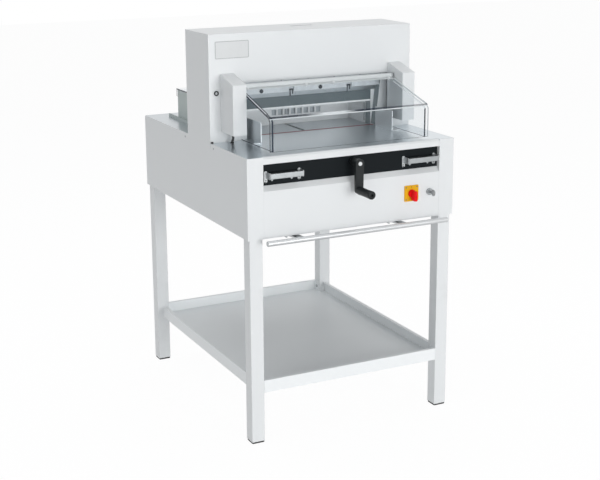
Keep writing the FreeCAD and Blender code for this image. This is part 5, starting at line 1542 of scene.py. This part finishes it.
    def lead(self) -> None:
        """Short black lead with a grommet where it leaves the column and where it enters the table."""
        dress("column_lead", Finish.LEAD_RUBBER)
        lead, column, table = Span.of("column_lead"), Span.of("column_left"), Span.of("front_table")
        bore, radius, made = self.grommet_bore, self.grommet_radius, Blank()
        for z, rise in ((column.low.z, -self.grommet_height), (table.high.z, self.grommet_height)):
            profile = ((bore, 0.0), (radius, 0.0), (radius, rise * 0.35), (radius * 0.86, rise * 0.5),
                       (self.grommet_lip, rise), (bore, rise))
            centre = Vector((column.high.x - self.lead_inset, lead.middle.y, z))
            made.turned(profile, centre, Axis.Z, 28, ring=True)
        added(made, "lead_grommets", "column_left", Finish.LEAD_RUBBER)

    def build(self) -> None:
        """Build the front guard."""
        self.columns()
        self.rail()
        self.panes()
        self.screws()
        self.lead()


@dataclass
class RearGuard:
    """Galvanised side plates on the rear table and the clear lid hinged between them."""

    edge: float = 0.5 * MM
    rim: float = 0.8 * MM
    narrow: float = 8.0 * MM

    def _is_narrow(self, face: bmesh.types.BMFace) -> bool:
        """Whether a face is an edge of the sheet."""
        around = face.calc_perimeter()
        return min(around / 4, face.calc_area() / max(around / 2, NOTHING)) < self.narrow

    def build(self) -> None:
        """Build the rear guard."""
        softened("rear_guard_plates", Finish.GALVANISED, self.edge)
        made = Blank.of("rear_guard_lid")
        # The lid's narrow faces, its cut edges, get a painted dark reflection.
        made.paint(1, self._is_narrow)
        made.bevel(made.sharp(SQUARE_ANGLE), self.rim, 1)
        finished(made, "rear_guard_lid", Finish.CLEAR, Finish.CUT_EDGE)


@dataclass
class BladeDrive:
    """Blade, its carrier and the machinery that draws them down."""

    carrier_edge: float = 0.9 * MM
    blade_edge: float = 0.25 * MM
    bolt_head: float = 2.0 * MM
    clip_x: tuple[float, float] = (-63.0 * MM, 155.0 * MM)
    clip_half: float = 7.0 * MM
    clip_out: float = 16.0 * MM
    clip_leg_half: float = 1.8 * MM
    fin_count: int = 26
    fin_height: float = 5.0 * MM
    fin_width: float = 1.8 * MM
    fin_gap: float = 0.5
    cowl_length: float = 52.0 * MM
    shield: float = 10.0 * MM
    shield_cone: float = 4.0 * MM
    cowl_gap: float = 3.0 * MM
    cowl_round: float = 8.0 * MM
    foot_edge: float = 2.0 * MM
    gearbox_edge: float = 2.0 * MM
    cover_bolts: int = 6
    cover_circle: float = 34.0 * MM
    box_edge: float = 1.2 * MM
    rod_edge: float = 1.0 * MM

    def beam(self) -> None:
        """Carrier, blade, its bolts and the two clips over the blade's face."""
        softened("blade_carrier", Finish.CARRIER_STEEL, self.carrier_edge, 3)
        softened("blade", Finish.BLADE_STEEL, self.blade_edge)
        kind = Fastener(FRONTWARD, self.bolt_head, Drive.HEX)
        fitted_screws("blade_bolts", Finish.BLACKENED, lambda span: kind)
        blade, made = Span.of("blade"), Blank()
        half, face = self.clip_half, blade.low.y - self.clip_out
        top = Span.of("blade_carrier").low.z + 10.0 * MM
        for x in self.clip_x:
            low = (x - half, face - 3.0 * MM, top - 5.0 * MM)
            made.block(low, (x + half, face - 0.4 * MM, top), 0.4 * MM)
            for side, rise in ((-1, 3.0 * MM), (1, 10.0 * MM)):
                at, wide = x + side * (half - 2.2 * MM), self.clip_leg_half
                low = (at - wide, face - 2.6 * MM, blade.low.z + rise)
                made.block(low, (at + wide, face - 0.5 * MM, top - 4.0 * MM), 0.3 * MM)
        added(made, "blade_clips", "blade_carrier", Finish.BLACKENED)

    def _fins(self, made: Blank, centre: Vector, low: Vector, high: Vector) -> None:
        """Cooling fins round the motor, but for the stretch over its foot.

        Args:
            made: the motor's shape.
            centre: a point of the motor's axis.
            low: low corner of the fin at the top, from that point.
            high: high corner of the same fin.
        """
        for i in range(self.fin_count):
            angle = 2 * math.pi * i / self.fin_count
            if abs(angle - math.pi) >= self.fin_gap:
                turn = Matrix.Translation(centre) @ Matrix.Rotation(angle, 4, "X")
                bmesh.ops.transform(made.bm, matrix=turn, verts=made.box(low, high))

    def motor(self) -> None:
        """Finned motor with a fan cowl, an end shield and a foot."""
        span = Span.of("blade_motor")
        radius = span.size.y / 2
        centre = Vector((0.0, span.middle.y, span.high.z - radius))
        core, x0, x1 = radius - self.fin_height, span.low.x, span.high.x
        shield, cone = x0 + self.shield, x0 + self.shield + self.shield_cone
        cowl = x1 - self.cowl_length
        profile = (
            (0.0, x0), (radius, x0), (radius, shield), (core, cone), (core, cowl - self.cowl_gap),
            (radius, cowl - self.cowl_gap), (radius, x1 - self.cowl_round), (radius - self.cowl_round, x1),
            (0.0, x1),
        )
        made = Blank()
        made.turned(profile, centre, Axis.X, 48)
        made.outward()
        half = self.fin_width / 2
        low = Vector((cone, -half, core - 2.0 * MM))
        self._fins(made, centre, low, Vector((cowl - 4.0 * MM, half, radius - 0.4 * MM)))
        y, z = span.middle.y, span.low.z
        for start, end, wide, low_z, high_z in (
            (20.0 * MM, 160.0 * MM, 45.0 * MM, z, z + 10.0 * MM),
            (30.0 * MM, 150.0 * MM, 22.0 * MM, z + 9.0 * MM, centre.z - core * 0.8),
        ):
            made.block((x0 + start, y - wide, low_z), (x0 + end, y + wide, high_z), self.foot_edge)
        finished(made, "blade_motor", Finish.MOTOR_ALUMINIUM)
        grille, middle = Blank(), centre + Vector((x1 + 0.3 * MM, 0.0, 0.0))
        for inner in (12.0, 19.0, 26.0, 33.0, 40.0):
            bars = in_mm((inner, -0.2), (inner + 2.6, -0.2), (inner + 2.6, -1.4), (inner, -1.4))
            grille.turned(bars, middle, Axis.X, 36, ring=True)
        added(grille, "motor_grille", "blade_motor", Finish.BLACK_PLASTIC)

    def gearbox(self) -> None:
        """Worm gearbox with the bolted cover of its bearing."""
        softened("gearbox", Finish.CAST_IRON, self.gearbox_edge, 3)
        disc = Span.of("drive_disc")
        middle = Vector((disc.middle.x, Span.of("gearbox").high.y - 0.2 * MM, disc.middle.z))
        cover, bolts = Blank(), Blank()
        profile = in_mm((16.0, 0.0), (40.0, 0.0), (40.0, 5.0), (36.0, 7.0), (16.0, 7.0))
        cover.turned(profile, middle, Axis.Y, 40, ring=True)
        added(cover, "gearbox_cover", "gearbox", Finish.CAST_IRON)
        for i in range(self.cover_bolts):
            angle = 2 * math.pi * (i + 0.5) / self.cover_bolts
            x, z = math.cos(angle) * self.cover_circle, math.sin(angle) * self.cover_circle
            top = middle + Vector((x, 9.0 * MM, z))
            bolts.screw(top, REARWARD, 3.5 * MM, 3.0 * MM, 5.0 * MM, Drive.HEX)
        added(bolts, "gearbox_bolts", "gearbox", Finish.ZINC)

    def control_box(self) -> None:
        """Zinc-plated control box with two cable glands."""
        softened("control_box", Finish.ZINC, self.box_edge, 3)
        span, made = Span.of("control_box"), Blank()
        profile = in_mm((4.0, 0.0), (9.0, 0.0), (9.0, 6.0), (7.0, 8.0), (7.0, 13.0), (4.0, 13.0))
        for share in (0.3, 0.6):
            middle = Vector((span.low.x + span.size.x * share, span.high.y - 0.5 * MM, span.middle.z))
            made.turned(profile, middle, Axis.Y, 12, ring=True)
        added(made, "cable_glands", "control_box", Finish.BLACK_PLASTIC)

    def build(self) -> None:
        """Build the drive."""
        self.beam()
        self.motor()
        self.gearbox()
        self.control_box()
        for node in ("pull_rod", "drive_disc"):
            softened(node, Finish.DARK_STEEL, self.rod_edge, 3)


@dataclass
class Clamp:
    """Clamp beam, the screw that drives it and its motor."""

    edge: float = 1.0 * MM
    foot_height: float = 5.5 * MM
    thread_depth: float = 1.6 * MM
    lead: float = 10.0 * MM
    chamfer: float = 1.0 * MM
    plain_end: float = 6.0 * MM
    motor_edge: float = 2.0 * MM

    def beam(self) -> None:
        """Dark painted clamp with a white pressing plate as its foot."""
        made = Blank.of("clamp_beam")
        made.bevel(made.sharp(), self.edge, 3)
        foot = Span.of("clamp_beam").low + UPWARD * self.foot_height
        made.cut(foot, Axis.Z)
        made.paint(1, lambda f: f.calc_center_median().z < foot.z)
        finished(made, "clamp_beam", Finish.CLAMP_PAINT, Finish.FOOT_PAINT)

    def screw(self) -> None:
        """Threaded screw of the clamp."""
        span, step = Span.of("clamp_screw"), self.chamfer
        low, high, radius = span.low.z, span.high.z, span.size.x / 2
        core = radius - self.thread_depth
        centre = Vector((span.middle.x, span.middle.y, 0.0))
        profile = ((0.0, low), (core - step, low), (core, low + step), (core, high - step),
                   (core - step, high), (0.0, high))
        made = Blank()
        made.turned(profile, centre, Axis.Z, 36)
        made.outward()
        start, length = centre + UPWARD * (low + self.plain_end), span.size.z - self.plain_end * 2
        made.thread(start, Axis.Z, core, radius, length, self.lead)
        finished(made, "clamp_screw", Finish.DARK_STEEL)

    def build(self) -> None:
        """Build the clamp."""
        self.beam()
        self.screw()
        softened("clamp_motor", Finish.MOTOR_ALUMINIUM, self.motor_edge, 3)


@dataclass
class BackGauge:
    """Back gauge with its carriage and spindle, and the hand crank that moves it."""

    edge: float = 0.6 * MM
    carriage_edge: float = 0.8 * MM
    backing_from: Triple = (-54.0 * MM, 9.0 * MM, 31.5 * MM)
    backing_size: Triple = (196.0 * MM, 3.0 * MM, 22.0 * MM)
    thread_depth: float = 1.2 * MM
    lead: float = 10.0 * MM
    plain_front: float = 16.0 * MM
    plain_rear: float = 12.0 * MM
    pocket: float = 4.0 * MM
    pocket_depth: float = 23.0 * MM
    arm_round: float = 2.0 * MM
    screw_head: float = 3.0 * MM
    grip_round: float = 3.0 * MM
    grip_waist: float = 0.6 * MM
    grip_pocket: float = 5.0 * MM
    grip_bore: float = 5.05 * MM
    grip_floor: tuple[float, float] = (8.0 * MM, 9.8 * MM)
    grip_chamfer: float = 0.8 * MM

    def gauge(self) -> None:
        """White gauge and its carriage with a brass nut under the table."""
        softened("back_gauge", Finish.GAUGE_PAINT, self.edge)
        gauge, table, (x, y, z) = Span.of("back_gauge"), Span.of("rear_table").low.z, self.backing_from
        strip, low = Blank(), Vector((x, gauge.low.y + y, gauge.low.z + z))
        strip.box(low, low + Vector(self.backing_size))
        added(strip, "gauge_backing", "back_gauge", Finish.BACKING)
        made = Blank.of("gauge_carriage")
        made.bevel(made.sharp(), self.carriage_edge)
        made.paint(1, lambda f: f.calc_center_median().z < table)
        finished(made, "gauge_carriage", Finish.DARK_STEEL, Finish.BRASS)

    def spindle(self) -> None:
        """Spindle with plain ends, a pocket in the front one and a thread between its bearings."""
        span, bearings = Span.of("gauge_spindle"), Span.of("spindle_bearings")
        radius, low, high = span.size.x / 2, span.low.y, span.high.y
        core, floor = radius - self.thread_depth, low + self.pocket_depth
        front, rear = bearings.low.y + self.plain_front, bearings.high.y - self.plain_rear
        centre = Vector((span.middle.x, 0.0, span.middle.z))
        profile = (
            (self.pocket, low), (radius - 0.5 * MM, low), (radius, low + 0.5 * MM), (radius, front),
            (core, front + 1.0 * MM), (core, rear - 1.0 * MM), (radius, rear), (radius, high - 1.0 * MM),
            (radius - 1.0 * MM, high), (0.0, high), (0.0, floor), (self.pocket, floor),
        )
        made = Blank()
        made.turned(profile, centre, Axis.Y, 32, ring=True)
        made.outward()
        start, length = centre + REARWARD * (front + 4.0 * MM), rear - front - 8.0 * MM
        made.thread(start, Axis.Y, core, radius, length, self.lead)
        finished(made, "gauge_spindle", Finish.ZINC)
        softened("spindle_bearings", Finish.ZINC, self.carriage_edge)

    def crank(self) -> None:
        """Black crank arm with its white screw."""
        softened("crank_arm", Finish.BLACK_PLASTIC, self.arm_round, 3)
        kind = Fastener(FRONTWARD, self.screw_head, Drive.HEX)
        fitted_screws("crank_screw", Finish.COLUMN_PLASTIC, lambda span: kind)

    def grip(self) -> None:
        """Turned grip, slightly waisted, with the pocket of a hexagon key in its end."""
        span, turn = Span.of("crank_grip"), self.grip_round
        radius, low, high = span.size.x / 2, span.low.y, span.high.y
        near, far = low + self.grip_floor[0], low + self.grip_floor[1]
        profile = [(self.grip_pocket, near), (self.grip_pocket, low), (radius - turn, low)]
        for i in range(1, 5):
            angle = math.pi / 2 * i / 4
            profile.append((radius - turn * (1 - math.sin(angle)), low + turn * (1 - math.cos(angle))))
        for share in (0.15, 0.35, 0.55, 0.75, 0.9):
            waist = self.grip_waist * math.sin(math.pi * share)
            profile.append((radius - waist, low + turn + (high - low - 4.0 * MM) * share))
        profile += [
            (radius, high - self.grip_chamfer), (radius - self.grip_chamfer, high), (self.grip_bore, high),
            (self.grip_bore, far), (0.0, far), (0.0, near),
        ]
        made = Blank()
        made.turned(profile, Vector((span.middle.x, 0.0, span.middle.z)), Axis.Y, 48, ring=True)
        made.outward()
        finished(made, "crank_grip", Finish.BLACK_PLASTIC)

    def build(self) -> None:
        """Build the gauge and its crank."""
        self.gauge()
        self.spindle()
        self.crank()
        self.grip()


@dataclass
class ReleaseBars:
    """The two bright bars on the black strip, in their ears."""

    edge: float = 0.35 * MM

    def build(self) -> None:
        """Build the bars and their ears."""
        softened("release_bar_left", Finish.CHROME, self.edge)
        softened("release_bar_right", Finish.CHROME, self.edge)
        softened("release_brackets", Finish.ZINC, self.edge)


@dataclass
class Controls:
    """Main switch, key lock and the knee bar."""

    plate_edge: float = 0.6 * MM
    knob_edge: float = 1.2 * MM
    corner_screw: float = 2.2 * MM
    corner_head: float = 0.9 * MM
    corner_length: float = 2.0 * MM
    corner_inset: float = 6.0 * MM
    numeral: float = 7.5 * MM
    numeral_out: float = 20.5 * MM
    numeral_proud: float = 0.03 * MM
    pointer_half: float = 0.8 * MM
    pointer_proud: float = 0.5 * MM
    pointer_from: float = -4.0 * MM
    pointer_to: float = 9.0 * MM
    lock_edge: float = 0.3 * MM
    bar_edge: float = 0.8 * MM
    bracket_edge: float = 0.4 * MM

    def _numeral(self, text: str, place: Vector) -> None:
        """Print a plain number on the switch plate, thin and raised.

        Args:
            text: the number.
            place: its middle.
        """
        curve = bpy.data.curves.new("numeral", "FONT")
        curve.body, curve.size, curve.extrude = text, self.numeral, self.numeral_proud * 2
        curve.align_x, curve.align_y = "CENTER", "CENTER"
        holder = linked("numeral", curve)
        bpy.context.view_layer.update()
        mesh = bpy.data.meshes.new_from_object(holder)
        bpy.data.objects.remove(holder)
        mesh.transform(Matrix.Translation(place) @ Matrix.Rotation(math.pi / 2, 4, "X"))
        mesh.materials.clear()
        mesh.materials.append(Finish.PRINT.made())
        ride_with(linked("switch_number_" + text, mesh), "main_switch_plate")

    def switch(self) -> None:
        """Yellow plate with corner screws and plain numbers, and the red knob with its pointer."""
        softened("main_switch_plate", Finish.YELLOW, self.plate_edge, 3)
        softened("main_switch_knob", Finish.RED, self.knob_edge, 3)
        plate, knob = Span.of("main_switch_plate"), Span.of("main_switch_knob")
        made, inset, head = Blank(), self.corner_inset, self.corner_head
        for x in (plate.low.x + inset, plate.high.x - inset):
            for z in (plate.low.z + inset, plate.high.z - inset):
                top = Vector((x, plate.low.y - head, z))
                made.screw(top, FRONTWARD, self.corner_screw, head, self.corner_length, Drive.CROSS)
        added(made, "switch_plate_screws", "main_switch_plate", Finish.DARK_STEEL)
        x, y, z = plate.middle.x, plate.low.y - self.numeral_proud, plate.middle.z
        self._numeral("0", Vector((x, y, z + self.numeral_out)))
        self._numeral("1", Vector((x + self.numeral_out, y, z)))
        pointer, half = Blank(), self.pointer_half
        low = (x - half, knob.low.y, z + self.pointer_from)
        pointer.block(low, (x + half, knob.low.y + self.pointer_proud, z + self.pointer_to), 0.1 * MM, 1)
        added(pointer, "switch_pointer", "main_switch_knob", Finish.COLUMN_PLASTIC)

    def lock(self) -> None:
        """Key lock and its key."""
        for node in ("key_lock", "key"):
            softened(node, Finish.CHROME, self.lock_edge)

    def knee_lever(self) -> None:
        """Bright bar under the front edge on its arms."""
        softened("knee_bar", Finish.KNEE_STEEL, self.bar_edge, 3)
        softened("knee_bar_brackets", Finish.ZINC, self.bracket_edge)

    def build(self) -> None:
        """Build the controls."""
        self.switch()
        self.lock()
        self.knee_lever()


ASSEMBLIES = (Stand, Cabinet, Tables, HeavyFrame, Housing, FrontGuard, RearGuard, BladeDrive, Clamp,
              BackGauge, ReleaseBars, Controls)


def main() -> None:
    """Build the studio and every sub-assembly, and report each piece."""
    logging.basicConfig(level=logging.INFO, format="%(name)s: %(message)s")
    Studio().build()
    for assembly in ASSEMBLIES:
        log.info("building %s", assembly.__name__)
        assembly().build()


if __name__ == "__main__":
    main()
